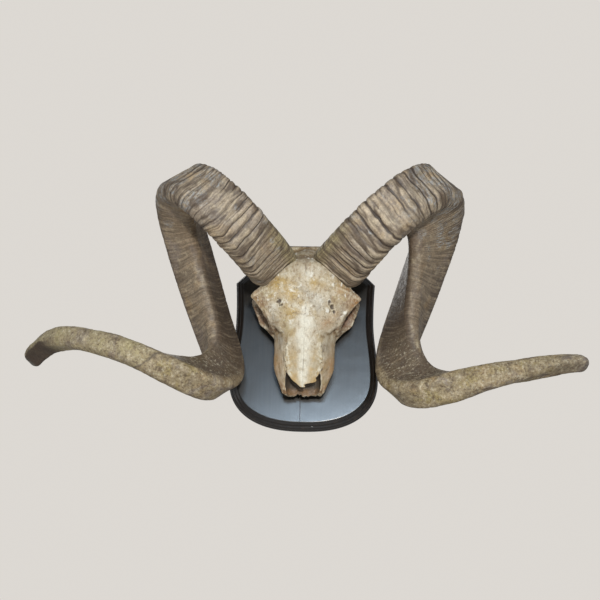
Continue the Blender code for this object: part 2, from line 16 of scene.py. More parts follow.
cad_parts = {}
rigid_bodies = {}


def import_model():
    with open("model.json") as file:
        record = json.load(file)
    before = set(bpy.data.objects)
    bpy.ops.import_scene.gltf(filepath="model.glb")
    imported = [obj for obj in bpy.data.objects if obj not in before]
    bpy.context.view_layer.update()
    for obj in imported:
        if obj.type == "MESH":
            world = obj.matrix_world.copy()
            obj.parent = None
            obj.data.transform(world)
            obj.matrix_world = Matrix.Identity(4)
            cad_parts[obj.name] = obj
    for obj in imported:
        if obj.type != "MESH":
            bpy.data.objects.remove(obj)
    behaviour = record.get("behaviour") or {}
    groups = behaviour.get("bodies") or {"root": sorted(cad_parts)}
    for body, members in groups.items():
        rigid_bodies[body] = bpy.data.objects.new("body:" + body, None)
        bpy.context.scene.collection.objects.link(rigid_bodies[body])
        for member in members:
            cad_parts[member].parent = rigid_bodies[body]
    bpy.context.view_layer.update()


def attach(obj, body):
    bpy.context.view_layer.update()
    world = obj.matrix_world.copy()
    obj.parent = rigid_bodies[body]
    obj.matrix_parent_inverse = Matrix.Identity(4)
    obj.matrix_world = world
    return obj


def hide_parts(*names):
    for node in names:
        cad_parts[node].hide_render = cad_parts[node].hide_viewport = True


MM = 0.001
GAP = 0.3

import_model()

# Plaque, as in the solid
PLAQUE_TOP = 194.0
PLAQUE_BOTTOM = -193.5
PLAQUE_THICKNESS = 22.0
PLAQUE_SHOULDER = (66.0, PLAQUE_TOP)
PLAQUE_EAR = (142.0, 110.0)
PLAQUE_WAIST = (139.0, 32.0)
PLAQUE_LOBE = (148.5, -85.0)
LOBE_SQUARENESS = 2.4
SHOULDER_PULL = (72.0, 165.0)
EAR_PULL = (114.0, 141.0)
# The moulding, finer, as (inset, height): rounded foot, wide quarter round, small step, soft rise
MOULDING = (
    (1.2, 0), (0.2, 1.2), (0, 3), (0, 7), (0.4, 8.2), (1.6, 9), (2.0, 10), (2.3, 11.8), (3.0, 13.4),
    (4.4, 14.8), (6.4, 15.7), (8.6, 16.1), (9.2, 16.7), (9.4, 18.4), (10.0, 19.3), (11.6, 19.9),
    (13.4, 20.5), (14.6, 21.4), (15.6, PLAQUE_THICKNESS),
)

# Skull, as in the solid
SKULL_MIDDLE = 3.5
SKULL_LEAN = math.radians(0.9)
FACE = (
    (-138, 23, 40, 31, 81, 66, 50),
    (-128, 26, 43, 32, 92, 68, 46),
    (-110, 29, 48, 35, 104, 71, 42),
    (-84, 33, 58, 38, 113, 73, 42),
    (-50, 33, 59, 39, 124, 74, 42),
    (-15, 32, 60, 40, 138, 78, 43),
    (15, 44, 62, 40, 150, 92, 46),
    (42, 54, 62, 38, 159, 104, 52),
)
BRAINCASE = (
    (15, 36, 88, 44),
    (50, 40, 102, 52),
    (85, 42, 106, 58),
    (110, 42, 100, 56),
    (135, 39, 84, 48),
    (152, 33, 70, 38),
    (162, 22, 62, 26),
)
FRONTALS = (
    (-22, 48, 136, 117, 16),
    (4, 76, 146, 123, 15),
    (20, 87, 152, 128, 13),
    (34, 99, 157, 132, 13),
    (43, 107, 160, 134, 14),
    (47, 105, 162, 135, 17),
    (60, 89, 168, 141, 27),
    (80, 70, 172, 150, 40),
    (104, 48, 170, 154, 40),
    (122, 34, 148, 130, 34),
)
ORBIT_CENTRE = (83.0, 94.0, 14.0)
ORBIT_TURN = math.radians(34.0)
ORBIT_LIFT = math.radians(8.0)
ORBIT_RADIUS = 33.0
ORBIT_RIM = 5.5
SOCKET_MOUTH = 27.5
SOCKET_FLOOR = 14.0
SOCKET_DEPTH = 42.0
SOCKET_DROP = 1.0
CHEEK_ARCH = (
    ((44, 72, -58), 6),
    ((52, 71, -26), 7),
    ((68, 67, -4), 8),
    ((87, 65, 16), 7.5),
    ((85, 68, 46), 6.5),
    ((67, 75, 78), 6.5),
    ((44, 81, 104), 8),
)
CONDYLE = ((16, 46, 160), (12, 14, 12))
BULLA = ((26, 44, 118), (10, 14, 17))
NUCHAL_CREST = ((15, 98, 150), (30, 14, 9))
PAROCCIPITAL = (((33, 60, 142), 9), ((35, 42, 143), 6.5), ((35, 16, 141), 4.5))
BRAIN_HOLE = (0, 50, 165)
BRAIN_HOLE_RADIUS = 9.0
BRAIN_HOLE_DEPTH = 20.0
NOSE_OPENING = ((-160, 32, 61, 150), (-142, 33, 61, 150), (-122, 35, 62, 150), (-98, 33, 64, 150))
NOSE_PASSAGE = ((-125, 28, 64, 92), (-98, 28, 64, 95), (-84, 23, 66, 95), (-70, 15, 70, 90))
NASAL_WIDTHS = ((-127, 3), (-117, 16), (-104, 28), (-92, 33), (-76, 36), (-50, 34), (-20, 25), (4, 14))
NASAL_CREST = ((-127, 108), (-60, 124), (4, 149))
NASAL_THICKNESS = 6.0
NASAL_EDGE_DROP = 8.0
TEETH_START = -104.0
TOOTH_LENGTHS = (11, 12, 13.5, 16, 18, 19)
TOOTH_OVERLAP = 0.5
TOOTH_ROW_FRONT = 26.0
TOOTH_ROW_BACK = 33.0
TOOTH_WIDTH = 13.0
TOOTH_FOOT = PLAQUE_THICKNESS + GAP
TOOTH_NECK = 48.0

# Horns, as in the solids: headings and rolls in degrees, curl and twist in radians a metre, depth as
# a part of the width. The last three values of each horn are not in the solids
# shaded_from is where the painted shade on the side turned to the neck begins, and tip_shade is how strong
# the painted shade under the tip is
HORNS = {
    "horn_left": dict(
        mirrored=False,
        root=(-79, -142, 127),
        heading=(184, -71.5, -69.5),
        roll=(12, -32),
        length=1147,
        curl=(-0.3, 11.6, 13.5, 7.0, -0.3, 14.4, 9.5, 1.5, 4.6, 6.1),
        twist=(3.7, 3.2, 4.0, 2.0, 1.6, 6.6, 6.3, 3.1, 3.9, 12.0),
        width=(99, 98, 92, 85, 72, 50, 43, 29),
        depth=(1.01, 0.75, 1.26, 1.20),
        layer=797,
        shaded_from=400,
        tip_shade=1.0,
    ),
    "horn_right": dict(
        mirrored=True,
        root=(-90, -138, 136),
        heading=(176.5, -71.5, -41.5),
        roll=(-9, -3),
        length=970,
        curl=(-0.7, 12.9, 14.8, 8.0, 1.2, 7.9, 13.9, 2.2, -1.0, 8.6),
        twist=(-0.5, 3.0, 5.7, 3.1, 2.7, 5.9, 8.8, 5.6, 7.6, 3.1),
        width=(106, 97, 97, 86, 74, 60, 42, 29),
        depth=(1.10, 1.25, 1.29, 0.96),
        layer=0,
        shaded_from=230,
        tip_shade=0.3,
    ),
}
HORN_STEP = 3.0
RING_SPACING = ((0, 13.5), (110, 11.5), (200, 8.5), (300, 6.5), (450, 6), (1200, 6))
RING_BULGES = ((0.02, 0.36), (0.66, 0.32))
RING_HEIGHT = ((0, 3.0), (110, 2.6), (200, 1.6), (300, 0.9), (400, 0.4), (520, 0.15), (1200, 0.05))
TIP_ROUNDING = 0.5
ROUNDER = (0.52, 0.82)
CORE_PAST_RIM = 6.0
CORE_INSET = 2.0
CORE_ROOT = (34.0, 92.0, 104.0)
HORN_ROOM = 3.0
HORN_ROOM_LENGTH = 75.0

# How fine the dressed pieces are
RING_STEP = 0.9
RING_SIDES = 144
SKULL_VOXEL = 1.35
SKULL_ROUNDING = 9
TOOTH_VOXEL = 0.55
TOOTH_ROUNDING = 2


# Numbers and noise


def lattice(cell, seed):
    """A fixed random value from -1 to 1 for each whole-numbered cell."""
    key = cell[..., 0] * 374761393 + cell[..., 1] * 668265263 + cell[..., 2] * 974634777 + seed * 362437
    key = (key ^ (key >> 13)) * 1274126177
    key = key ^ (key >> 16)
    return (key & 0xFFFF) / 32767.5 - 1


def noise(points, size, seed=0):
    """Smooth noise from -1 to 1, with lumps about as wide as size."""
    at = np.asarray(points) / size
    cell = np.floor(at).astype(np.int64)
    part = at - cell
    part = part * part * (3 - 2 * part)
    total = 0.0
    for corner in np.ndindex(2, 2, 2):
        weight = np.where(np.array(corner) == 1, part, 1 - part).prod(axis=-1)
        total = total + weight * lattice(cell + np.array(corner), seed)
    return total


def rough(points, size, octaves=3, seed=0):
    """Noise of several sizes added up, each half as large as the one before."""
    total = 0.0
    for k in range(octaves):
        total = total + noise(points, size / 2**k, seed + k) / 2**k
    return total / (2 - 2 ** (1 - octaves))


def step_up(value, low, high):
    """From 0 below low to 1 above high, smoothly."""
    part = np.clip((value - low) / (high - low), 0, 1)
    return part * part * (3 - 2 * part)


def between(values, slopes, i, t, gap):
    """A smooth curve from row i to the next, at the part t of the gap between them."""
    start = (2 * t**3 - 3 * t**2 + 1) * values[i] + (t**3 - 2 * t**2 + t) * gap * slopes[i]
    end = (3 * t**2 - 2 * t**3) * values[i + 1] + (t**3 - t**2) * gap * slopes[i + 1]
    return start + end


def smooth(table, at):
    """The rows at these levels, on smooth curves through the rows of the table."""
    rows = np.asarray(table, float)
    levels = rows[:, 0]
    slopes = np.gradient(rows, levels, axis=0)
    at = np.atleast_1d(np.asarray(at, float))
    i = np.clip(np.searchsorted(levels, at) - 1, 0, len(levels) - 2)
    gap = (levels[i + 1] - levels[i])[:, None]
    return between(rows, slopes, i, (at - levels[i])[:, None] / gap, gap)


def table_at(table, at):
    """Straight lines through a table of (place, value) pairs."""
    return np.interp(at, *zip(*table))


def even_table(values):
    return np.column_stack([np.linspace(0, 1, len(values)), values])


def levels_of(table, step):
    first, last = table[0][0], table[-1][0]
    return np.linspace(first, last, max(2, round((last - first) / step) + 1))


def turns_of(count):
    return np.arange(count) * 2 * math.pi / count


def on_line(levels, offset=0.0):
    """Points along a line, for noise that depends on one value alone."""
    return np.column_stack([levels, levels * 0, levels * 0 + offset])


def squarish(value, power):
    return np.sign(value) * np.abs(value) ** power


def smooth_loop(corners, count):
    """A closed Catmull-Rom curve through the corners."""
    corners = np.asarray(corners, float)
    place = np.arange(count) * len(corners) / count
    i = place.astype(int)
    t = (place - i)[:, None]
    a, b, c, d = (corners[(i + k) % len(corners)] for k in (-1, 0, 1, 2))
    return (2 * b + (c - a) * t + (2 * a - 5 * b + 4 * c - d) * t**2 + (3 * b - a - 3 * c + d) * t**3) / 2


def place(across, height, level):
    """A point of the model from its place on the skull."""
    along_x = SKULL_MIDDLE + across * math.cos(SKULL_LEAN) + level * math.sin(SKULL_LEAN)
    along_z = level * math.cos(SKULL_LEAN) - across * math.sin(SKULL_LEAN)
    return (along_x, -height, along_z)


def on_skull(points):
    """The inverse of place(): across, height and level of each point, in millimetres."""
    x = points[:, 0] - SKULL_MIDDLE
    across = x * math.cos(SKULL_LEAN) - points[:, 2] * math.sin(SKULL_LEAN)
    level = x * math.sin(SKULL_LEAN) + points[:, 2] * math.cos(SKULL_LEAN)
    return across, -points[:, 1], level


# Meshes


def new_collection(name):
    group = bpy.data.collections.new(name)
    bpy.context.scene.collection.children.link(group)
    return group


def drop_collection(group):
    for item in list(group.objects):
        bpy.data.objects.remove(item, do_unlink=True)
    bpy.data.collections.remove(group)


def add(name, data, group=None):
    item = bpy.data.objects.new(name, data)
    (group or bpy.context.scene.collection).objects.link(item)
    return item


shown = new_collection("dressed")


def object_from(name, points, faces, group):
    """An object from points in millimetres and faces, turned to face out."""
    mesh = bpy.data.meshes.new(name)
    mesh.from_pydata((np.asarray(points) * MM).tolist(), [], faces)
    bm = bmesh.new()
    bm.from_mesh(mesh)
    bmesh.ops.recalc_face_normals(bm, faces=bm.faces)
    if bm.calc_volume(signed=True) < 0:
        bmesh.ops.reverse_faces(bm, faces=bm.faces)
    bm.to_mesh(mesh)
    bm.free()
    return add(name, mesh, group)


def ring_faces(rings, sides):
    """Quads between closed rings, in order."""
    low = np.arange(rings - 1)[:, None] * sides + np.arange(sides)
    ahead = np.arange(rings - 1)[:, None] * sides + (np.arange(sides) + 1) % sides
    return np.stack([low, ahead, ahead + sides, low + sides], axis=-1).reshape(-1, 4).tolist()


def loft(name, rings, group):
    """A closed body through rings of points, with flat ends."""
    rings = np.array([np.asarray(ring, float) for ring in rings])
    count, sides = rings.shape[:2]
    faces = ring_faces(count, sides)
    faces.append(list(range(sides))[::-1])
    faces.append(list(range((count - 1) * sides, count * sides)))
    return object_from(name, rings.reshape(-1, 3), faces, group)


def ellipsoid(name, centre, sizes, group):
    across, height, along = sizes
    x, y, z = centre
    turns = turns_of(28)
    rings = []
    for lift in np.linspace(-0.999, 0.999, 15) * math.pi / 2:
        wide = math.cos(lift)
        level = z + along * math.sin(lift)
        ring = [(x + across * wide * math.cos(a), y + height * wide * math.sin(a)) for a in turns]
        rings.append([place(*point, level) for point in ring])
    return loft(name, rings, group)


def tube(name, path, group, sides=20):
    """A round bar along a path of (centre, radius) pairs."""
    table = np.array([(i, *place(*centre), radius) for i, (centre, radius) in enumerate(path)])
    rows = smooth(table, np.linspace(0, len(path) - 1, 8 * len(path)))
    rings = []
    turns = turns_of(sides)
    for row, along in zip(rows, np.gradient(rows[:, 1:4], axis=0)):
        across = np.cross(along, (0.0, 1.0, 0.3))
        across /= np.linalg.norm(across)
        up = np.cross(along, across)
        up /= np.linalg.norm(up)
        rings.append([row[1:4] + row[4] * (math.cos(a) * across + math.sin(a) * up) for a in turns])
    return loft(name, rings, group)


def apply_modifiers(item):
    bpy.context.view_layer.update()
    graph = bpy.context.evaluated_depsgraph_get()
    mesh = bpy.data.meshes.new_from_object(item.evaluated_get(graph), depsgraph=graph)
    item.modifiers.clear()
    item.data = mesh


def read(rows, name, width, kind=np.float32):
    """One property of every vertex or edge, a row for each."""
    values = np.zeros(len(rows) * width, kind)
    rows.foreach_get(name, values)
    return values.reshape(-1, width)


def keep_largest(item):
    """Leaves only the largest connected surface."""
    mesh = item.data
    a, b = read(mesh.edges, "vertices", 2, np.int32).T
    label = np.arange(len(mesh.vertices))
    while True:
        least = np.minimum(label[a], label[b])
        before = label.copy()
        np.minimum.at(label, a, least)
        np.minimum.at(label, b, least)
        label = label[label]
        if (label == before).all():
            break
    names, sizes = np.unique(label, return_counts=True)
    if len(names) == 1:
        return
    loose = np.flatnonzero(label != names[sizes.argmax()])
    bm = bmesh.new()
    bm.from_mesh(mesh)
    bm.verts.ensure_lookup_table()
    bmesh.ops.delete(bm, geom=[bm.verts[int(i)] for i in loose], context="VERTS")
    bm.to_mesh(mesh)
    bm.free()


def cut(item, others):
    """Cuts the objects of a collection from an item."""
    boolean = item.modifiers.new("cut", "BOOLEAN")
    boolean.operation = "DIFFERENCE"
    boolean.operand_type = "COLLECTION"
    boolean.collection = others
    boolean.solver = "MANIFOLD"
    apply_modifiers(item)
    keep_largest(item)
    drop_collection(others)


def add_skin(item, voxel):
    remesh = item.modifiers.new("skin", "REMESH")
    remesh.mode = "VOXEL"
    remesh.voxel_size = voxel * MM


def fuse(name, pieces, voxel, rounding, group):
    """One closed surface over all the pieces of a collection."""
    bm = bmesh.new()
    for piece in pieces.objects:
        bm.from_mesh(piece.data)
    mesh = bpy.data.meshes.new(name)
    bm.to_mesh(mesh)
    bm.free()
    item = add(name, mesh, group)
    add_skin(item, voxel)
    soften = item.modifiers.new("soften", "SMOOTH")
    soften.factor = 0.5
    soften.iterations = rounding
    apply_modifiers(item)
    drop_collection(pieces)
    keep_largest(item)
    return item


def points_of(item):
    return read(item.data.vertices, "co", 3).astype(float) / MM


def normals_of(item):
    return read(item.data.vertices, "normal", 3).astype(float)


def set_points(item, points):
    item.data.vertices.foreach_set("co", (points * MM).astype(np.float32).ravel())
    item.data.update()


def mark(item, name, values):
    """Keeps a value, or a vector, at each vertex for the material to read."""
    values = np.asarray(values, np.float32)
    if values.ndim == 2:
        item.data.attributes.new(name, "FLOAT_VECTOR", "POINT").data.foreach_set("vector", values.ravel())
    else:
        item.data.attributes.new(name, "FLOAT", "POINT").data.foreach_set("value", values)


def mark_all(item, values):
    for name, value in values.items():
        mark(item, name, value)


def hollowness(item, rounds=6):
    """Above 0 in hollows and below 0 on edges, in millimetres, against an average of the neighbours."""
    points = points_of(item)
    a, b = read(item.data.edges, "vertices", 2, np.int32).T
    size = len(points)
    count = np.maximum(np.bincount(a, minlength=size) + np.bincount(b, minlength=size), 1)
    mean = points
    for _ in range(rounds):
        sums = [np.bincount(a, column[b], size) + np.bincount(b, column[a], size) for column in mean.T]
        mean = (np.array(sums) / count).T
    return ((mean - points) * normals_of(item)).sum(axis=1)


def dress(item, node, surface):
    """Takes a finished piece into the object, in place of its solid."""
    item.data.materials.clear()
    item.data.materials.append(surface)
    item.data.shade_smooth()
    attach(item, "root")
    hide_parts(node)


# Materials


def node(tree, kind, inputs=(), **settings):
    """A shader node with its inputs set, or linked where the value is another node's output."""
    made = tree.nodes.new("ShaderNode" + kind)
    for key, value in settings.items():
        setattr(made, key, value)
    for key, value in dict(inputs).items():
        if isinstance(value, bpy.types.NodeSocket):
            tree.links.new(value, made.inputs[key])
        else:
            made.inputs[key].default_value = value
    return made


MID_GREY = [0.5, 0.5, 0.5, 1.0]


def srgb(red, green, blue):
    """A colour given as the screen shows it, from 0 to 255, for a shader."""
    light = (np.array([red, green, blue]) / 255) ** 2.2
    return (*light.tolist(), 1.0)


class Surface:
    """A material under construction, with short names for the nodes that it uses most."""

    def __init__(self, name):
        self.material = bpy.data.materials.new(name)
        self.material.use_nodes = True
        self.tree = self.material.node_tree
        self.shader = self.tree.nodes["Principled BSDF"]
        self.at = node(self.tree, "TexCoord").outputs["Object"]
        self.colour = None
        self.bumps = None

    def value(self, name):
        return node(self.tree, "Attribute", attribute_name=name).outputs["Fac"]

    def vector(self, name):
        return node(self.tree, "Attribute", attribute_name=name).outputs["Vector"]

    def stretched(self, by, vector=None):
        inputs = {0: vector or self.at, 1: by}
        return node(self.tree, "VectorMath", inputs, operation="MULTIPLY").outputs[0]

    def noise(self, scale, detail=4.0, rough=0.55, vector=None, warp=0.0):
        inputs = {"Vector": vector or self.at, "Scale": scale, "Detail": detail}
        inputs.update({"Roughness": rough, "Distortion": warp})
        return node(self.tree, "TexNoise", inputs).outputs["Fac"]

    def streaks(self, by, detail=4.0, rough=0.55, vector=None, warp=0.0):
        """Noise with its own fineness along each axis."""
        return self.noise(1.0, detail, rough, self.stretched(by, vector), warp)

    def ramp(self, value, low, high, start=0.0, end=1.0):
        """Maps low..high to start..end, smoothly and held at both ends."""
        inputs = {"Value": value, "From Min": low, "From Max": high, "To Min": start, "To Max": end}
        return node(self.tree, "MapRange", inputs, interpolation_type="SMOOTHSTEP").outputs[0]

    def maths(self, operation, a, b=0.0):
        return node(self.tree, "Math", {0: a, 1: b}, operation=operation).outputs[0]

    def mix(self, amount, a, b, blend="MIX"):
        """Mixes two colours, each a socket, a list for the shader, or a triple as srgb() takes it."""
        a, b = (srgb(*colour) if isinstance(colour, tuple) else colour for colour in (a, b))
        inputs = {0: amount, 6: a, 7: b}
        return node(self.tree, "Mix", inputs, data_type="RGBA", blend_type=blend).outputs[2]

    def times(self, first, *others):
        """The product of values that are sockets or numbers."""
        for other in others:
            first = self.maths("MULTIPLY", first, other)
        return first

    def paint(self, colour, *amounts):
        """Lays a colour over the one so far, as strongly as the product of the amounts."""
        self.colour = self.mix(self.times(*amounts), self.colour, colour)

    def shade(self, value, low, high, dark, light):
        """Multiplies the colour so far by a grey that follows a value."""
        grey = self.ramp(value, low, high, dark, light)
        self.colour = self.mix(1.0, self.colour, grey, "MULTIPLY")

    def bump(self, value, depth):
        """Adds relief, with depth in millimetres."""
        inputs = {"Strength": 1.0, "Distance": depth * MM, "Height": value}
        made = node(self.tree, "Bump", inputs)
        if self.bumps is not None:
            self.tree.links.new(self.bumps, made.inputs["Normal"])
        self.bumps = made.outputs[0]

    def finish(self, roughness):
        if isinstance(roughness, bpy.types.NodeSocket):
            self.tree.links.new(roughness, self.shader.inputs["Roughness"])
        else:
            self.shader.inputs["Roughness"].default_value = roughness
        self.tree.links.new(self.colour, self.shader.inputs["Base Color"])
        if self.bumps is not None:
            self.tree.links.new(self.bumps, self.shader.inputs["Normal"])
        return self.material


# Camera, light and floor: focal length in pixels, turns in degrees, the floor's reach in metres

IMAGE = 600
FOCAL_PIXELS = 1047.24
CAMERA_AT = (55.0, -2046.1, -563.3)
CAMERA_TURNS = (-17.427, 1.844, 1.452)
FLOOR_LEVEL = -1320.0
FLOOR_REACH = 8.0
FLOOR_COLOUR = (0.68, 0.66, 0.63, 1.0)
AROUND_COLOUR = (0.90, 0.92, 0.95, 1.0)
AROUND_STRENGTH = 0.34
BACKGROUND_COLOUR = (0.72, 0.69, 0.65, 1.0)
# Each light: its place, target and size in metres, its power in watts, and its colour
LIGHTS = {
    "key": ((0.16, -2.05, -0.18), (0, -0.1, 0), (0.12, 0.12), 22, (1.0, 0.94, 0.86)),
    "fill": ((-2.4, -2.2, 0.1), (0, -0.1, 0), (1.6, 1.6), 10, (0.95, 0.97, 1.0)),
    "low sheen": ((0.25, -3.4, 0.26), (0, 0, -0.15), (1.1, 0.36), 48, (0.60, 0.80, 1.0)),
    "behind": ((-0.8, 2.6, 1.2), (0, 0, 0), (1.5, 1.5), 22, (1.0, 0.98, 0.95)),
}


def make_camera():
    """The photo's own camera, with its place, turns and focal length as solved."""
    data = bpy.data.cameras.new("camera")
    data.sensor_width = 36.0
    data.lens = data.sensor_width * FOCAL_PIXELS / IMAGE
    data.clip_end = 50.0
    item = add("camera", data)
    pitch, roll_y, turn = (math.radians(a) for a in CAMERA_TURNS)
    turns = Matrix.Rotation(turn, 3, "Z") @ Matrix.Rotation(pitch, 3, "X") @ Matrix.Rotation(roll_y, 3, "Y")
    rows = turns @ Matrix(((1, 0, 0), (0, 0, -1), (0, 1, 0)))
    right, down, ahead = rows[0], rows[1], rows[2]
    item.rotation_mode = "QUATERNION"
    item.rotation_quaternion = Matrix((right, -down, -ahead)).transposed().to_quaternion()
    item.location = Vector(CAMERA_AT) * MM
    bpy.context.scene.camera = item


def area_light(name, at, target, size, power, colour):
    data = bpy.data.lights.new(name, "AREA")
    data.shape = "RECTANGLE"
    data.size, data.size_y = size
    data.energy = power
    data.color = colour
    item = add(name, data)
    item.location = at
    item.rotation_mode = "QUATERNION"
    item.rotation_quaternion = (Vector(target) - Vector(at)).to_track_quat("-Z", "Y")


def make_world():
    """Soft light from all round, and a paler background where the camera looks past the object."""
    world = bpy.data.worlds.new("studio")
    bpy.context.scene.world = world
    world.use_nodes = True
    tree = world.node_tree
    around = tree.nodes["Background"]
    around.inputs["Color"].default_value = AROUND_COLOUR
    around.inputs["Strength"].default_value = AROUND_STRENGTH
    behind = node(tree, "Background", {"Color": BACKGROUND_COLOUR, "Strength": 1.0})
    seen = node(tree, "LightPath").outputs["Is Camera Ray"]
    both = node(tree, "MixShader", {0: seen, 1: around.outputs[0], 2: behind.outputs[0]})
    tree.links.new(both.outputs[0], tree.nodes["World Output"].inputs["Surface"])


def make_floor():
    mesh = bpy.data.meshes.new("floor")
    signs = ((-1, -1), (1, -1), (1, 1), (-1, 1))
    corners = [(FLOOR_REACH * a, FLOOR_REACH * b, FLOOR_LEVEL * MM) for a, b in signs]
    mesh.from_pydata(corners, [], [(0, 1, 2, 3)])
    floor = add("floor", mesh)
    surface = bpy.data.materials.new("floor")
    surface.use_nodes = True
    shader = surface.node_tree.nodes["Principled BSDF"]
    shader.inputs["Base Color"].default_value = FLOOR_COLOUR
    shader.inputs["Roughness"].default_value = 0.8
    mesh.materials.append(surface)


def make_stage():
    bpy.context.scene.view_settings.view_transform = "Standard"
    make_world()
    for name, values in LIGHTS.items():
        area_light(name, *values)
    make_floor()


# Horns


def turned(vector, axis, angle):
    side = np.cross(axis, vector) * math.sin(angle)
    return vector * math.cos(angle) + side + axis * (axis @ vector) * (1 - math.cos(angle))


def first_frame(heading):
    """The root's direction, and the back of its section."""
    way, lift, turn = (math.radians(angle) for angle in heading)
    along = np.array([math.cos(lift) * math.cos(way), math.sin(lift), math.cos(lift) * math.sin(way)])
    back = np.array([0.0, 1.0, 0.0]) - along * along[1]
    back /= np.linalg.norm(back)
    return along, math.cos(turn) * back + math.sin(turn) * np.cross(along, back)


def horn_axis(horn):
    """Points, directions and backs of the section along the horn, as the solid grows it."""
    steps = round(horn["length"] / HORN_STEP)
    step = horn["length"] / steps
    marks = (np.arange(steps + 1) + 0.5) / (steps + 1)
    curl = smooth(even_table(horn["curl"]), marks)[:, 1]
    twist = smooth(even_table(horn["twist"]), marks)[:, 1]
    point = np.array(horn["root"], float)
    along, back = first_frame(horn["heading"])
    rows = []
    for i in range(steps + 1):
        rows.append((point.copy(), along, back))
        spin = twist[i] * along + curl[i] * np.cross(along, back)
        angle = np.linalg.norm(spin) * step * MM
        axis = spin / np.linalg.norm(spin)
        ahead = turned(along, axis, angle)
        point += (along + ahead) / 2 * step
        back = turned(back, axis, angle)
        along = ahead
    at = np.arange(steps + 1) * step
    return at, *(np.array(column) for column in zip(*rows))


def horn_rows(horn, stations):
    """Point, direction and back at any stations along the horn."""
    at, point, along, back = horn_axis(horn)
    i = np.clip(np.searchsorted(at, stations) - 1, 0, len(at) - 2)
    gap = at[1]
    t = ((stations - at[i]) / gap)[:, None]
    way = along[i] * (1 - t) + along[i + 1] * t
    rear = back[i] * (1 - t) + back[i + 1] * t
    way /= np.linalg.norm(way, axis=1, keepdims=True)
    rear -= way * (way * rear).sum(axis=1, keepdims=True)
    rear /= np.linalg.norm(rear, axis=1, keepdims=True)
    return between(point, along, i, t, gap), way, rear


def horn_section(width, depth, old, sides, fine=720):
    """A triangle as (back, side) points, with rounded corners that are softer on the old end of the horn."""
    front_edge = back_edge = (0.20 + 0.08 * old) * width
    top_edge = (0.10 + 0.16 * old) * width
    corners = np.array(
        [
            (-0.5 * depth + front_edge, 0.5 * width - front_edge),
            (0.5 * depth - back_edge, 0.0),
            (-0.5 * depth + top_edge, -0.5 * width + top_edge),
        ]
    )
    radii = np.array([front_edge, back_edge, top_edge])
    turns = np.linspace(0, 2 * math.pi, fine, endpoint=False)
    spokes = np.column_stack([np.cos(turns), np.sin(turns)])
    nearest = (spokes @ corners.T + radii).argmax(axis=1)
    edge = corners[nearest] + radii[nearest][:, None] * spokes
    edge[:, 0] -= 0.06 * depth * np.clip(-np.cos(turns), 0, None) ** 2
    closed = np.vstack([edge, edge[:1]])
    run = np.concatenate([[0], np.cumsum(np.linalg.norm(np.diff(closed, axis=0), axis=1))])
    marks = np.arange(sides) * run[-1] / sides
    return np.column_stack([np.interp(marks, run, closed[:, k]) for k in (0, 1)])


def horn_sections(horn, stations, sides):
    """The horn's sections at these stations, turned by its roll, before any relief."""
    part = stations / horn["length"]
    width = smooth(even_table(horn["width"]), part)[:, 1]
    depth = width * smooth(even_table(horn["depth"]), part)[:, 1]
    tip = TIP_ROUNDING * horn["width"][-1]
    near_tip = np.clip(stations - (horn["length"] - tip), 0, None) / tip
    size = np.sqrt(np.clip(1 - near_tip**2, 0.004, 1))
    old = np.interp(part, ROUNDER, (0, 1))
    sections = np.array([horn_section(w, d, o, sides) * s for w, d, o, s in zip(width, depth, old, size)])
    return sections, part


def horn_points(horn, stations, sections, part, rows=None):
    """Points of the model for sections at stations."""
    point, way, rear = horn_rows(horn, stations) if rows is None else rows
    side = np.cross(way, rear)
    turn = np.radians(horn["roll"][0] + (horn["roll"][1] - horn["roll"][0]) * part)[:, None]
    to_back = sections[..., 0] * np.cos(turn) - sections[..., 1] * np.sin(turn)
    to_side = sections[..., 0] * np.sin(turn) + sections[..., 1] * np.cos(turn)
    rings = point[:, None] + to_back[..., None] * rear[:, None] + to_side[..., None] * side[:, None]
    return rings * (-1, 1, 1) if horn["mirrored"] else rings


def grown(sections, room):
    reach = np.linalg.norm(sections, axis=-1, keepdims=True)
    return sections * (reach + room) / reach


def plain_ring(horn, back_by, room, sides=40):
    """The root's section, moved along the root's direction, grown by some room."""
    along, back = first_frame(horn["heading"])
    sections, part = horn_sections(horn, np.array([0.0]), sides)
    sections = grown(sections, room)
    rows = ((np.array(horn["root"], float) + along * back_by)[None], along[None], back[None])
    return horn_points(horn, np.array([0.0]), sections, part, rows)[0]


def make_horn_core(name, horn, group):
    """The bone that fills the horn's root, narrowing into the side of the skull."""
    rings = [plain_ring(horn, past, -CORE_INSET) for past in (CORE_PAST_RIM, 0, -8)]
    side = 1 if horn["mirrored"] else -1
    root = np.array(place(side * CORE_ROOT[0], *CORE_ROOT[1:]))
    first = rings[-1]
    middle = first.mean(axis=0)
    for part, size in ((0.35, 0.88), (0.7, 0.72), (1.0, 0.6)):
        rings.append(middle + (root - middle) * part + (first - middle) * size)
    return loft(name, rings, group)


def make_horn_room(name, horn, group):
    """The space that a horn's first stretch takes in the skull."""
    stations = np.arange(9, HORN_ROOM_LENGTH, 9.0)
    sections, part = horn_sections(horn, stations, 40)
    later = horn_points(horn, stations, grown(sections, HORN_ROOM), part)
    rings = [plain_ring(horn, -GAP, HORN_ROOM), *later]
    return loft(name, rings, group)


def ring_phase(stations, seed):
    """How many growth rings lie before each station, unevenly spaced as they grow."""
    fine = np.linspace(0, stations[-1], 3000)
    spacing = table_at(RING_SPACING, fine) * (1 + 0.32 * noise(on_line(fine), 22, seed))
    count = np.concatenate([[0], np.cumsum(np.diff(fine) / spacing[1:])])
    return np.interp(stations, fine, count)


def creases(grain, around, along, seed):
    """From 0 to 1 on thin wandering lines that run round the horn, this far apart along it."""
    value = noise(grain / (around, around, along), 1.0, seed)
    return step_up(1 - np.abs(value), 0.72, 0.98)


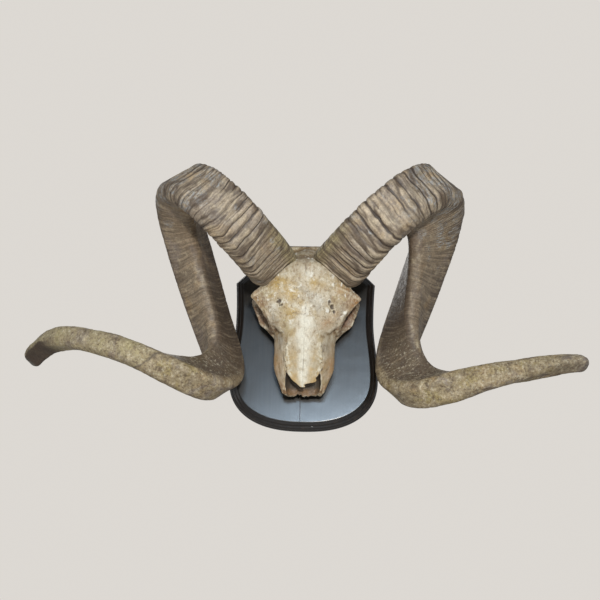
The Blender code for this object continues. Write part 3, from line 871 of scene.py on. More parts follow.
def corner_of(sections):
    """How sharply each section bends at each of its points, from 0 to 1."""
    ahead = np.roll(sections, -3, axis=1) - sections
    behind = sections - np.roll(sections, 3, axis=1)
    turn = np.arctan2(ahead[..., 1], ahead[..., 0]) - np.arctan2(behind[..., 1], behind[..., 0])
    turn = np.abs((turn + math.pi) % (2 * math.pi) - math.pi)
    keel = step_up(turn, 0.10, 0.42)
    for _ in range(3):
        keel = (keel + np.roll(keel, 1, axis=1) + np.roll(keel, -1, axis=1)) / 3
    return keel


def horn_relief(horn, stations, sections, points, seed):
    """How far the surface stands out, and masks for the material, at each point of the rings."""
    flat = points.reshape(-1, 3)
    shape = points.shape[:2]

    def lumps(size, key):
        return noise(flat, size, seed + key).reshape(shape)

    def rugged(size, octaves, key, at=flat):
        return rough(at, size, octaves, seed + key).reshape(shape)

    reach = np.linalg.norm(sections, axis=-1)
    front = 0.5 - 0.5 * sections[..., 0] / np.maximum(reach, 1e-6)
    around = np.arange(shape[1]) / shape[1] * np.ones((shape[0], 1))
    girth = np.linalg.norm(np.roll(sections, -1, axis=1) - sections, axis=-1).sum(axis=1)[:, None]
    keel = corner_of(sections)
    s = stations[:, None] * np.ones(shape[1])
    ridged = 1 - step_up(s, 300, 420)
    bulge = sum(np.sin(math.pi * np.clip((around - a) / wide, 0, 1)) for a, wide in RING_BULGES)
    wave = 3.2 * lumps(58, 1) + (0.25 + 0.75 * ridged) * (1.4 * lumps(21, 2) + 0.7 * lumps(8, 3)) - 7 * bulge
    turn = 2 * math.pi * around
    radius = girth / (2 * math.pi)
    grain = np.stack([radius * np.cos(turn), radius * np.sin(turn), s + wave], axis=-1)
    rings = grain.reshape(-1, 3)
    # Growth rings: round crests with sharp grooves between, closer and lower along the horn
    spacing = table_at(RING_SPACING, s)
    phase = ring_phase(stations, seed)[:, None] + wave / spacing
    number = np.floor(phase).astype(np.int64)
    part = phase - number
    crest = (4 * part * (1 - part)) ** 0.6
    uneven = 1 + 0.5 * lattice(np.stack([number, number * 0, number * 0], axis=-1), seed)
    away = np.minimum(part, 1 - part) * spacing
    groove = np.exp(-((away / np.interp(s, (0, 120, 260), (1.5, 1.2, 0.9))) ** 2))
    nearest = np.floor(phase + 0.5).astype(np.int64)
    bold = 0.7 + 0.3 * lattice(np.stack([nearest, nearest * 0 + 3, nearest * 0], axis=-1), seed)
    bold = np.clip(bold + 0.45 * lumps(34, 5), 0, 1)
    height = table_at(RING_HEIGHT, s) * (0.35 + 0.65 * front) * step_up(s, -4, 5)
    relief = height * (uneven * crest - 0.62 - 0.45 * groove * bold)
    deep = step_up(height, 0.25, 1.6)
    trough = groove * bold * deep
    # Creases on the rings and beyond them, flakes round the bend, and lumps
    coarse = creases(rings, 60, 4.6, seed + 6).reshape(shape)
    fine = creases(rings, 36, 2.3, seed + 7).reshape(shape)
    smooth_side = step_up(around, 0.54, 0.60) * (1 - step_up(around, 0.94, 0.99))
    collar = smooth_side * (1 - step_up(s + 14 * lumps(30, 17), 70, 105))
    relief = relief * (1 - 0.8 * collar)
    relief -= coarse * (0.12 + 0.65 * ridged * front) * step_up(s, 2, 12) * (1 - collar)
    relief -= fine * (0.05 + 0.25 * ridged)
    relief += 1.2 * rugged(55, 2, 8) * step_up(s, 20, 120)
    bend = step_up(s, 140, 210) * (1 - step_up(s, 280, 360)) * front
    worn = step_up(rugged(20, 3, 9) + 0.5 * bend, 0.25, 0.55) * (1 - step_up(s, 330, 420))
    relief += (0.2 + 0.5 * bend) * worn * rugged(5.5, 2, 10, rings / (1.6, 1.6, 0.8))
    # The old end is knobbly, with a worn layer that ends in a ragged step on one horn
    old = step_up(s, 600, 720)
    relief += old * (1.5 * rugged(26, 3, 11) + 0.4 * rugged(7, 2, 12))
    line = s - horn["layer"] - 115 * (0.64 - around) + 3 * lumps(22, 15) + 0.8 * lumps(5, 16)
    layer = step_up(line, -1.5, 1.5) if horn["layer"] else s * 0
    relief -= 0.8 * layer * (1 - step_up(line, 20, 90))
    crack = np.exp(-((line / 1.6) ** 2)) if horn["layer"] else s * 0
    relief -= 0.5 * crack
    chips = keel * step_up(rugged(12, 2, 13), 0.40, 0.75) * step_up(s, 60, 220)
    relief -= 1.6 * chips + 0.9 * trough * keel * front
    # The side turned to the neck, which the material darkens, partly as painted shade
    nuchal = step_up(around, 0.66, 0.71) * (1 - step_up(around, 0.965, 0.99))
    tip = np.clip(1 - (stations[-1] - s) / 60, 0, 1)
    relief = relief * (1 - 0.4 * tip) + 1.2 * tip * rugged(16, 3, 14)
    relief = relief * np.clip(reach / 12, 0, 1)
    masks = {
        "trough": trough,
        "crest": np.clip(crest * uneven, 0, 1) * deep,
        "crease": np.clip(0.85 * coarse + 0.45 * fine, 0, 1),
        "keel": keel,
        "worn": worn,
        "front": front,
        "nuchal": nuchal * step_up(s, horn["shaded_from"], horn["shaded_from"] + 70),
        "collar": collar,
        "crack": crack,
        "layer": layer,
    }
    return relief, masks, grain


def make_horn(name, horn, seed, surface):
    count = round(horn["length"] / RING_STEP)
    stations = np.linspace(0, horn["length"], count + 1)
    sections, part = horn_sections(horn, stations, RING_SIDES)
    plain = horn_points(horn, stations, sections, part)
    relief, masks, grain = horn_relief(horn, stations, sections, plain, seed)
    reach = np.linalg.norm(sections, axis=-1)
    sections = sections * (1 + relief / np.maximum(reach, 1e-6))[..., None]
    rings = horn_points(horn, stations, sections, part)
    way = np.gradient(rings.mean(axis=1), axis=0)
    way /= np.linalg.norm(way, axis=1, keepdims=True)
    flat = rings.reshape(-1, 3)
    ragged = 2.2 * noise(flat, 11, seed + 20) + 1.2 * noise(flat, 4, seed + 21)
    ragged = ragged.reshape(rings.shape[:2]) * (1 - step_up(stations, 2, 26))[:, None]
    rings = rings + ragged[..., None] * way[:, None]
    faces = ring_faces(len(rings), RING_SIDES)
    points = rings.reshape(-1, 3)
    ends = [rings[0].mean(axis=0), rings[-1].mean(axis=0)]
    top = len(points) - RING_SIDES
    after = [(i, (i + 1) % RING_SIDES) for i in range(RING_SIDES)]
    faces += [[b, a, len(points)] for a, b in after]
    faces += [[top + a, top + b, len(points) + 1] for a, b in after]
    item = object_from(name + "_sheath", np.vstack([points, ends]), faces, shown)
    mark_all(item, {key: np.append(values.ravel(), (0, 0)) for key, values in masks.items()})
    mark(item, "along", np.append(np.repeat(part, RING_SIDES), (0, 1)))
    # Faces turned down near the tip, where the material paints shade
    mark(item, "under", horn["tip_shade"] * step_up(-normals_of(item)[:, 2], 0.1, 0.45))
    mark(item, "grain", np.vstack([grain.reshape(-1, 3), np.zeros((2, 3))]) * MM)
    dress(item, name, surface)


def horn_surface():
    s = Surface("weathered horn")
    along, trough, crease = s.value("along"), s.value("trough"), s.value("crease")
    worn, front, layer, nuchal = s.value("worn"), s.value("front"), s.value("layer"), s.value("nuchal")
    grain = s.vector("grain")
    old = s.ramp(along, 0.50, 0.62)
    young = s.ramp(along, 0.50, 0.62, 1, 0)
    wide_streaks = s.streaks((9, 9, 200), 3.0, 0.6, vector=grain)
    streaks = s.streaks((16, 16, 300), 4.0, 0.6, vector=grain)
    flaking = s.streaks((110, 110, 420), 5.0, 0.7, vector=grain)
    fibres = s.streaks((520, 520, 26), 4.0, 0.65, vector=grain)
    patches = s.noise(20, 4.0, 0.6)
    cool = s.noise(17, 4.0, 0.65, warp=0.4)
    mottle = s.noise(75, 4.0, 0.65)
    grit = s.noise(280, 5.0, 0.75)
    # Ground colour from the root to the tip
    s.colour = (150, 133, 112)
    s.paint((132, 115, 94), s.ramp(along, 0.22, 0.32))
    s.paint((146, 129, 100), s.ramp(along, 0.52, 0.62))
    s.paint((128, 114, 94), s.ramp(along, 0.9, 1.0))
    # Growth rings: paler crests, and fine lines round the horn that fade towards the old end
    s.paint((176, 159, 134), s.value("crest"), s.ramp(mottle, 0.4, 0.6, 0.25, 0.6))
    s.shade(s.mix(old, wide_streaks, MID_GREY), 0.30, 0.70, 0.88, 1.10)
    s.shade(s.mix(s.times(old, 0.75), streaks, MID_GREY), 0.36, 0.64, 0.72, 1.22)
    # Broad patches and small spots, most of them stronger towards the old end
    s.paint((168, 136, 92), s.ramp(patches, 0.52, 0.72, 0, 0.45))
    s.paint((108, 92, 72), s.ramp(patches, 0.44, 0.28, 0, 0.35))
    s.paint((118, 106, 100), s.ramp(cool, 0.52, 0.61), s.ramp(old, 0, 1, 0.35, 0.6))
    s.paint((146, 128, 82), old, s.ramp(cool, 0.47, 0.38, 0, 0.65))
    spotted = s.maths("ADD", 0.35, s.times(old, 0.35))
    s.paint((184, 167, 138), spotted, s.ramp(mottle, 0.53, 0.66))
    s.paint((88, 73, 56), spotted, s.ramp(mottle, 0.46, 0.34))
    # An olive collar at the root with lengthwise fibres
    s.paint(s.mix(s.ramp(fibres, 0.36, 0.64), (116, 102, 74), (170, 155, 114)), s.value("collar"), 0.75)
    # The side turned to the neck, darker partly in its own colour and partly as painted shade, with fine pale
    # lines
    shade = s.mix(s.ramp(streaks, 0.5, 0.64), (78, 65, 53), (112, 97, 80))
    s.paint(shade, nuchal, s.ramp(along, 0.76, 0.68), 0.85)
    # Grey flakes round the bend, with dark between them
    s.paint((150, 149, 146), worn, s.ramp(flaking, 0.46, 0.58), 0.85)
    s.paint((84, 76, 70), worn, s.ramp(flaking, 0.46, 0.36, 0, 0.85))
    # The old end: a paler layer laid bare, dark and pale specks, and painted shade on the underside by the
    # tip
    s.paint((172, 158, 120), layer, s.ramp(cool, 0.35, 0.6, 0.6, 0.1))
    specks = s.noise(200, 4.0, 0.7)
    s.paint((88, 70, 52), old, s.ramp(specks, 0.55, 0.63, 0, 0.7))
    s.paint((188, 176, 150), old, s.ramp(specks, 0.45, 0.36, 0, 0.6))
    s.paint((84, 74, 66), s.value("crack"), 0.75)
    # Painted shade on the underside by the tip, and grey on it at the very end
    s.paint((58, 44, 35), s.value("under"), s.ramp(along, 0.885, 0.93, 0, 0.92))
    s.paint((118, 116, 108), s.value("under"), s.ramp(along, 0.985, 0.998, 0, 0.8))
    # Darker in the creases, in the grooves and on the corners, and a fine grit over all
    cleft = s.times(young, s.ramp(front, 0.2, 0.8, 0.12, 0.85))
    s.paint((76, 62, 50), crease, cleft)
    s.paint((52, 41, 33), s.ramp(trough, 0.2, 0.8, 0, 0.88), s.ramp(s.value("collar"), 0, 0.6, 1, 0.15))
    edge = s.times(s.value("keel"), s.ramp(s.noise(60), 0.35, 0.65, 0.0, 0.45))
    s.paint((80, 62, 46), edge, s.ramp(along, 0.05, 0.2))
    s.shade(grit, 0.34, 0.66, 0.78, 1.18)
    s.bump(streaks, 0.4)
    s.bump(mottle, 0.6)
    s.bump(grit, 0.35)
    return s.finish(s.ramp(s.noise(120), 0.3, 0.7, 0.52, 0.76))


# Skull


def with_mirror(half):
    """The right half, listed from one end of the middle line to the other, and its left half."""
    return [*half, *((-across, along) for across, along in half[-2:0:-1])]


def across_ring(half, level, count=56):
    """A closed curve at one level of the skull, from its right half."""
    return [place(across, height, level) for across, height in smooth_loop(with_mirror(half), count)]


def make_face(group):
    rings = []
    for level, roof, cheek, palate, top, middle, under in smooth(FACE, levels_of(FACE, 6)):
        half = (
            (0, top),
            (roof * 0.75, top - 2),
            (roof + 3, top - 8),
            ((roof + cheek) / 2 + 2, (top + middle) / 2),
            (cheek, middle),
            (palate, under),
            (0, under + 4),
        )
        rings.append(across_ring(half, level))
    return loft("face", rings, group)


def make_braincase(group):
    rings = []
    turns = turns_of(48)
    for level, half, axis, rise in smooth(BRAINCASE, levels_of(BRAINCASE, 6)):
        rings.append([place(half * math.sin(a), axis + rise * math.cos(a), level) for a in turns])
    return loft("braincase", rings, group)


def make_frontals(group):
    rings = []
    for level, wide, ridge, edge, thick in smooth(FRONTALS, levels_of(FRONTALS, 4)):
        half = (
            (0, ridge),
            (0.5 * wide, ridge - 0.2 * (ridge - edge)),
            (0.85 * wide, ridge - 0.7 * (ridge - edge)),
            (wide, edge - 0.3 * thick),
            (0.75 * wide, edge - thick),
            (0, ridge - thick - 14),
        )
        rings.append(across_ring(half, level))
    return loft("frontals", rings, group)


def orbit_axes(side):
    level = np.array([side * math.cos(ORBIT_TURN), 0.0, -math.sin(ORBIT_TURN)])
    along = np.array([side * math.sin(ORBIT_TURN), 0.0, math.cos(ORBIT_TURN)])
    off_wall = np.array([0.0, -1.0, 0.0])
    outward = math.cos(ORBIT_LIFT) * level + math.sin(ORBIT_LIFT) * off_wall
    up = math.cos(ORBIT_LIFT) * off_wall - math.sin(ORBIT_LIFT) * level
    return outward, along, up


def orbit_middle(side):
    return np.array(place(side * ORBIT_CENTRE[0], *ORBIT_CENTRE[1:]))


def orbit_rings(name, side, sizes, group, drop=0.0, sides=56):
    """A body round the eye's axis, from radii and depths below the rim, or moved towards the board."""
    outward, along, up = orbit_axes(side)
    turns = turns_of(sides)
    table = np.array([(i, radius, depth) for i, (radius, depth) in enumerate(sizes)])
    rings = []
    for _, radius, depth in smooth(table, np.linspace(0, len(sizes) - 1, 5 * len(sizes))):
        middle = orbit_middle(side) - outward * depth - up * drop
        rings.append([middle + radius * (math.cos(a) * along + math.sin(a) * up) for a in turns])
    return loft(name, rings, group)


def make_skull_pieces(group):
    make_face(group)
    make_braincase(group)
    make_frontals(group)
    cup = (
        (ORBIT_RADIUS - 4, -3),
        (ORBIT_RADIUS + ORBIT_RIM - 1, -1),
        (ORBIT_RADIUS + ORBIT_RIM, 4),
        (ORBIT_RADIUS + 2, 12),
        (ORBIT_RADIUS - 3, 26),
        (ORBIT_RADIUS - 9, 44),
    )
    for side in (-1, 1):
        orbit_rings("orbit", side, cup, group)
        for path in (CHEEK_ARCH, PAROCCIPITAL):
            tube("bar", [((side * c[0], c[1], c[2]), radius) for c, radius in path], group)
        for centre, sizes in (CONDYLE, BULLA, NUCHAL_CREST):
            ellipsoid("swelling", (side * centre[0], centre[1], centre[2]), sizes, group)
    for name, horn in HORNS.items():
        make_horn_core(name, horn, group)


def make_passage(name, table, group):
    rings = []
    for level, wide, floor, roof in smooth(table, levels_of(table, 4)):
        middle = (floor + roof) / 2
        half = ((0, roof), (wide, roof), (wide, middle), (0.8 * wide, floor + 5), (0, floor))
        rings.append(across_ring(half, level, 48))
    return loft(name, rings, group)


def make_hollows(group):
    middle = ((SOCKET_MOUTH + SOCKET_FLOOR) / 2 + 3, SOCKET_DEPTH * 0.65)
    socket = ((SOCKET_MOUTH + 3, -20), (SOCKET_MOUTH, 0), middle, (SOCKET_FLOOR, SOCKET_DEPTH))
    for side in (-1, 1):
        orbit_rings("socket", side, socket, group, SOCKET_DROP)
    make_passage("nose opening", NOSE_OPENING, group)
    make_passage("nose passage", NOSE_PASSAGE, group)
    across, height, level = BRAIN_HOLE
    ends = ((across, height, level - BRAIN_HOLE_DEPTH), (across, height, level + BRAIN_HOLE_DEPTH))
    tube("brain hole", [(end, BRAIN_HOLE_RADIUS) for end in ends], group)


# Marks on the bone: small holes (across, level, radius, depth), a seam as a line of (across, level),
# and the rough ridge that arches over the brow: its level in the middle, and its fall to the sides
BROW_HOLES = ((-50, 29, 3.6, 5), (51, 22, 3.6, 4), (-45, 22, 2.4, 2), (55, 13, 2.6, 2), (47, 30, 2.4, 2))
SEAMS = (
    ((0, 96), (-1, 76), (1, 56), (0, 30), (1, 5)),
    ((-40, 2), (-20, 8), (0, 5), (20, 8), (40, 2)),
)
BROW_RIDGE = 66.0
BROW_RIDGE_FALL = 420.0
# Stains and painted shade: across, height, level, reach, strength. The first four spots of the dark list are
# painted shade on the top between the horns and behind it, the others dark blots on the brow
STAINS_AND_SHADE = {}
STAINS_AND_SHADE["ochre"] = (
    (-46, 155, 60, 20, 1.0), (-26, 160, 44, 16, 0.9), (-60, 145, 40, 12, 0.6), (30, 160, 64, 13, 0.5),
    (-26, 152, 8, 16, 0.9), (-12, 155, 22, 12, 0.6), (14, 165, 62, 12, 0.8), (-28, 140, -30, 14, 0.6),
)
STAINS_AND_SHADE["rust"] = (
    (-94, 130, 42, 15, 0.9), (-84, 130, 30, 12, 0.7), (97, 130, 36, 20, 1.0), (-78, 120, 8, 12, 0.6),
    (57, 75, -80, 30, 0.9), (-55, 75, -75, 28, 0.8), (46, 70, -122, 18, 0.9), (-40, 70, -122, 18, 0.9),
    (46, 138, -10, 14, 0.8), (62, 140, 4, 12, 0.6), (-60, 150, 70, 12, 0.6), (74, 148, 56, 16, 0.8),
)
STAINS_AND_SHADE["white"] = (
    (-28, 160, 46, 9, 1.0), (-38, 160, 78, 12, 0.7), (6, 165, 74, 14, 0.6), (-60, 140, 22, 8, 0.9),
    (0, 150, 14, 14, 0.9), (2, 145, -10, 18, 1.0), (-8, 145, -30, 20, 1.0), (8, 140, -50, 16, 0.8),
    (22, 150, 36, 12, 0.5), (-50, 120, -44, 8, 0.7), (50, 120, -40, 8, 0.5),
)
# Painted shade on the top between the horns and behind it, then dark blots on the brow
STAINS_AND_SHADE["dark"] = (
    (0, 150, 118, 30, 1.0), (-26, 150, 108, 22, 0.9), (28, 150, 106, 20, 0.9), (0, 110, 150, 46, 1.0),
    (51, 150, 24, 10, 0.7), (-50, 150, 30, 8, 0.6), (60, 140, -22, 12, 0.5), (78, 140, 22, 9, 0.5),
)


def seam_distance(across, level, seam, seed):
    """Distance to a seam's line, which wanders from side to side as a suture does."""
    wiggle = np.column_stack([across, level, across * 0])
    across = across + 2.2 * noise(wiggle, 7, seed) + 1.0 * noise(wiggle, 3, seed + 1)
    level = level + 2.2 * noise(wiggle, 7, seed + 2) + 1.0 * noise(wiggle, 3, seed + 3)
    best = np.full(len(across), np.inf)
    for (x0, z0), (x1, z1) in zip(seam, seam[1:]):
        length = (x1 - x0) ** 2 + (z1 - z0) ** 2
        t = np.clip(((across - x0) * (x1 - x0) + (level - z0) * (z1 - z0)) / length, 0, 1)
        gap = np.hypot(across - x0 - t * (x1 - x0), level - z0 - t * (z1 - z0))
        best = np.minimum(best, gap)
    return best


def stains(across, height, level, spots):
    """How strongly a list of soft spots marks each point."""
    total = np.zeros(len(across))
    for x, y, z, reach, strength in spots:
        near = ((across - x) ** 2 + (height - y) ** 2 + (level - z) ** 2) / reach**2
        total = np.maximum(total, strength * np.exp(-near))
    return total


def nose_masks(normals, across, height, level):
    """Where the inside of the nose shows, and the broken edge of its floor."""
    facing_in = np.clip(-2 * np.sign(across) * normals[:, 0], 0, 1)
    floor = step_up(-normals[:, 1], 0.2, 0.5) * (height < 78)
    within = (1 - step_up(level, -97, -91)) * (np.abs(across) < 38) * (height < 100)
    deep = (level < -60) * (np.abs(across) < 31) * (height > 58) * (height < 98)
    cavity = np.maximum(within * np.maximum(facing_in, floor), deep * (level > -97))
    ledge = within * floor * (1 - step_up(level, -129, -119))
    return cavity, ledge


def socket_mask(points):
    """A mask of the eye sockets, from 0 at the rim to 1 deep in the right one and 0.5 in the left."""
    total = np.zeros(len(points))
    for side in (-1, 1):
        outward, along, up = orbit_axes(side)
        away = points - orbit_middle(side)
        depth = -away @ outward
        radial = np.hypot(away @ along, away @ up + SOCKET_DROP)
        inside = (radial < SOCKET_MOUTH + 2) * (depth < SOCKET_DEPTH + 4)
        total = np.maximum(total, step_up(depth, -2, 9) * inside * (0.75 + 0.25 * side))
    return total


def weather_bone(item):
    """Ridges, holes, pits and a broken nose end, as relief and as masks."""
    points = points_of(item)
    normals = normals_of(item)
    across, height, level = on_skull(points)
    roof = step_up(-normals[:, 1], 0.1, 0.5)
    brow = roof * step_up(level, -30, 5) * step_up(height, 90, 120)
    edge = step_up(np.abs(across), 55, 85) * roof * step_up(level, -10, 20)
    relief = 0.9 * rough(points, 26, 2, 31) + 0.4 * rough(points, 10, 2, 33)
    pits = step_up(rough(points, 6.5, 2, 35), 0.42, 0.75)
    relief -= (0.15 + 0.35 * brow) * pits
    relief += brow * (0.8 * rough(points, 12.0, 2, 37) + 0.4 * rough(points * (1, 1, 0.35), 6, 2, 38))
    relief += 0.8 * edge * rough(points * (1, 1, 0.25), 5, 2, 39)
    chalky = rough(points * (1, 1, 0.6), 8, 3, 40) + 0.45 * stains(across, height, level, STAINS_AND_SHADE["white"])
    flecks = step_up(chalky, 0.36, 0.56) * np.maximum(brow, 0.6 * step_up(level, -60, -30)) * roof
    relief += 0.6 * flecks * brow
    arch = level - BROW_RIDGE + across**2 / BROW_RIDGE_FALL
    broken_up = 0.35 + 0.65 * step_up(noise(points, 13, 41), -0.2, 0.4)
    relief += 1.1 * np.exp(-((arch / 4.0) ** 2)) * roof * broken_up
    relief -= 0.9 * np.exp(-(((arch + 6.5) / 4.0) ** 2)) * roof
    seam = np.full(len(points), np.inf)
    for k, line in enumerate(SEAMS):
        seam = np.minimum(seam, seam_distance(across, level, line, 42 + 4 * k))
    seam_mark = np.exp(-((seam / 1.0) ** 2)) * roof * step_up(noise(points, 17, 50), -0.3, 0.5)
    relief -= 0.5 * seam_mark
    hole_mark = np.zeros(len(points))
    for x, z, radius, depth in BROW_HOLES:
        near = np.hypot(across - x, level - z) / radius * (1 + 0.6 * noise(points, 3.5, 55))
        hole = np.exp(-(near**3)) * roof * step_up(height, 100, 120)
        hole_mark = np.maximum(hole_mark, hole)
        relief -= depth * hole
    rim = np.zeros(len(points))
    for side in (-1, 1):
        away = np.linalg.norm(points - orbit_middle(side), axis=1)
        rim = np.maximum(rim, 1 - step_up(away, 36, 50))
    rim *= 1 - roof * step_up(height, 110, 125)
    relief += rim * (0.9 * rough(points, 8, 2, 56) + 0.4 * rough(points, 3.5, 2, 57))
    # Painted shadow in the gap beside the lower edges of the nasal bones
    reach = smooth(NASAL_WIDTHS, np.clip(level, NASAL_WIDTHS[0][0], NASAL_WIDTHS[-1][0]))[:, 1]
    nasal_gap_shadow = np.exp(-(((np.abs(across) - reach - 1) / 2.6) ** 2))
    nasal_gap_shadow = nasal_gap_shadow * (1 - step_up(level, -62, -40)) * (height > 62)
    nasal_gap_shadow *= step_up(noise(points, 7, 58), -0.35, 0.15)
    cavity, ledge = nose_masks(normals, across, height, level)
    end = 1 - step_up(level, -136, -108)
    relief += end * 1.2 * rough(points, 7, 2, 51) + 1.8 * ledge * rough(points, 8, 2, 52)
    moved = points + normals * relief[:, None]
    sheet = np.column_stack([across, height * 0.3, level * 0])
    broken = 4.5 + 2.8 * noise(sheet, 9, 53) + 2.2 * noise(sheet, 3.5, 54) + 2.0 * step_up(across, -24, -8)
    moved[:, 2] += end * broken
    set_points(item, moved)
    here = (across, height, level)
    masks = {
        "hollow": np.clip(0.5 + hollowness(item) * 0.9, 0, 1),
        "pits": pits,
        "flecks": flecks,
        "holes": np.maximum(0.4 * seam_mark, hole_mark),
        "rim": rim,
        "nasal_gap_shadow": nasal_gap_shadow,
        "cavity": cavity,
        "ledge": ledge,
        "socket": socket_mask(points),
        "brow": brow,
        "edge": edge,
    }
    mark_all(item, masks)
    mark_all(item, {name: stains(*here, spots) for name, spots in STAINS_AND_SHADE.items()})


def nasal_ring(level, room, above, sides=10):
    """The right half of the space over and round the nasal bones at one level."""
    half = smooth(NASAL_WIDTHS, level)[0, 1] + room
    crest = smooth(NASAL_CREST, level)[0, 1]
    reach = np.linspace(0, half, sides)
    fall = NASAL_EDGE_DROP * (reach / 28) ** 2
    top = [(x, crest - drop + room + above) for x, drop in zip(reach, fall)]
    bottom = [(x, crest - drop - NASAL_THICKNESS - room) for x, drop in zip(reach, fall)]
    return top + bottom[::-1]


def make_nasal_room(group):
    levels = levels_of(NASAL_WIDTHS, 5)
    levels[0] -= GAP
    levels[-1] += GAP
    rings = []
    for level in levels:
        right = nasal_ring(level, GAP, 12)
        rings.append([place(across, height, level) for across, height in with_mirror(right)])
    return loft("nasal room", rings, group)


def teeth():
    """The level of the middle of each tooth, its place across and its length."""
    start = TEETH_START
    for length in TOOTH_LENGTHS:
        level = start + length / 2
        part = (level - TEETH_START) / sum(TOOTH_LENGTHS)
        yield level, TOOTH_ROW_FRONT + (TOOTH_ROW_BACK - TOOTH_ROW_FRONT) * part, length
        start += length


def make_tooth_room(side, tooth, group):
    level, middle, length = tooth
    rings = []
    turns = turns_of(32)
    along = squarish(np.sin(turns), 0.6)
    across = squarish(np.cos(turns), 0.6)
    lobes = 1 + 0.10 * np.cos(2 * math.pi * along)
    for height, size in ((TOOTH_FOOT - 6, 0.92), (30, 1.0), (TOOTH_NECK - 6, 0.94), (TOOTH_NECK + GAP, 0.88)):
        x = middle + across * (TOOTH_WIDTH / 2 * size * lobes + GAP)
        z = level + along * (length / 2 + TOOTH_OVERLAP + GAP)
        rings.append([place(side * a, height, b) for a, b in zip(x, z)])
    return loft("tooth room", rings, group)


def make_skull(surface):
    pieces = new_collection("skull pieces")
    make_skull_pieces(pieces)
    item = fuse("skull_bone", pieces, SKULL_VOXEL, SKULL_ROUNDING, shown)
    hollows = new_collection("hollows")
    make_hollows(hollows)
    cut(item, hollows)
    add_skin(item, SKULL_VOXEL)
    apply_modifiers(item)
    weather_bone(item)
    rooms = new_collection("rooms")
    for name, horn in HORNS.items():
        make_horn_room(name, horn, rooms)
    make_nasal_room(rooms)
    for side in (-1, 1):
        for tooth in teeth():
            make_tooth_room(side, tooth, rooms)
    corners = ((-200, -260), (200, -260), (200, 260), (-200, 260))
    base = [[(x, y, z) for x, z in corners] for y in (20, -PLAQUE_THICKNESS - GAP)]
    loft("plaque room", base, rooms)
    cut(item, rooms)
    dress(item, "skull", surface)
    return item


def bone_ground(s):
    """Mottled bone: broad tan and grey patches, small pale and dark ones, and white and ochre stains."""
    broad = s.noise(26, 4.0, 0.6)
    cool = s.noise(19, 3.0, 0.6, warp=0.5)
    mottle = s.noise(80, 4.0, 0.65)
    s.colour = (182, 166, 140)
    s.paint((170, 146, 106), s.ramp(broad, 0.5, 0.64, 0, 0.75))
    s.paint((162, 152, 136), s.ramp(cool, 0.54, 0.66, 0, 0.7))
    s.paint((176, 158, 112), s.ramp(cool, 0.46, 0.36, 0, 0.45))
    s.paint((208, 198, 174), s.ramp(mottle, 0.54, 0.66, 0, 0.75))
    s.paint((132, 110, 80), s.ramp(mottle, 0.46, 0.35, 0, 0.75))
    lengthwise = s.streaks((170, 170, 34), 4.0, 0.65)
    s.paint((204, 190, 162), s.ramp(lengthwise, 0.54, 0.66, 0, 0.5))
    s.paint((146, 116, 78), s.ramp(lengthwise, 0.46, 0.35, 0, 0.55))
    white = s.times(s.value("white"), s.ramp(mottle, 0.36, 0.56, 0.45, 1.0))
    s.paint((220, 212, 194), white)
    ochre = s.times(s.value("ochre"), s.ramp(mottle, 0.62, 0.44, 0.25, 0.95))
    s.paint((176, 142, 72), ochre)
    return mottle


def bone_surface():
    s = Surface("old bone")
    hollow, pits, brow = s.value("hollow"), s.value("pits"), s.value("brow")
    mottle = bone_ground(s)
    flecking = s.noise(210, 4.0, 0.7)
    rust = s.times(s.value("rust"), s.ramp(s.noise(80, 4.0, 0.6), 0.36, 0.58, 0.35, 1.0))
    s.paint((160, 116, 70), rust)
    streaks = s.streaks((330, 330, 60), 4.0, 0.65)
    s.paint((126, 94, 68), s.value("edge"), s.ramp(streaks, 0.46, 0.6, 0, 0.7))
    # Painted shade on the top between the horns, and dark blots on the brow
    s.paint((112, 86, 52), s.value("dark"), s.ramp(mottle, 0.65, 0.4, 0.45, 0.95))
    s.paint((116, 98, 74), brow, s.ramp(flecking, 0.45, 0.34, 0, 0.75))
    s.paint((210, 202, 182), brow, s.ramp(flecking, 0.56, 0.66, 0, 0.5))
    s.paint((226, 220, 206), s.value("flecks"), s.ramp(flecking, 0.36, 0.54, 0.2, 0.9))
    s.paint((122, 100, 72), pits, 0.25)
    # Painted shade in the hollows and a painted highlight on the edges
    s.paint((98, 78, 56), s.ramp(hollow, 0.58, 0.95, 0, 0.6))
    s.paint((214, 202, 174), s.ramp(hollow, 0.42, 0.15, 0, 0.35))
    # Painted shade in the brow holes, and darker seam lines
    s.paint((74, 64, 56), s.value("holes"), 0.85)
    orbit = s.times(s.value("rim"), s.ramp(s.noise(120, 4.0, 0.65, warp=0.3), 0.44, 0.58, 0.1, 0.8))
    s.paint((128, 98, 74), orbit)
    # Painted shadow beside the lower edges of the nasal bones
    s.paint((84, 66, 48), s.value("nasal_gap_shadow"), 0.8)
    # The eye sockets' insides: streaky pinkish brown, darkened as painted shade
    socket = s.mix(s.ramp(streaks, 0.42, 0.58), (142, 110, 88), (84, 62, 48))
    s.paint(socket, s.value("socket"))
    # Painted shade inside the nose
    s.paint((76, 67, 57), s.value("cavity"), 0.92)
    s.paint((128, 98, 68), s.value("ledge"), s.ramp(mottle, 0.4, 0.6, 0.5, 0.95))
    s.shade(s.noise(700, 3.0, 0.7), 0.3, 0.7, 0.86, 1.08)
    s.bump(mottle, 1.0)
    s.bump(flecking, 0.9)
    s.bump(s.noise(900, 3.0, 0.6), 0.25)
    return s.finish(s.ramp(s.noise(150), 0.35, 0.7, 0.45, 0.70))


# Nasal bones

NASAL_SHEET = 3.2
NASAL_PARTING = 0.05


def height_beside(skull, levels, half):
    """The height of the face just outside the edge of the nasal bones at each level."""
    across, height, level = on_skull(points_of(skull))
    heights = []
    for middle, reach in zip(levels, half):
        near = (np.abs(level - middle) < 2.0) & (np.abs(np.abs(across) - reach - 1.6) < 1.2)
        heights.append(height[near].max() if near.any() else 0.0)
    return np.convolve(np.pad(heights, 6, mode="edge"), np.full(13, 1 / 13), mode="valid")


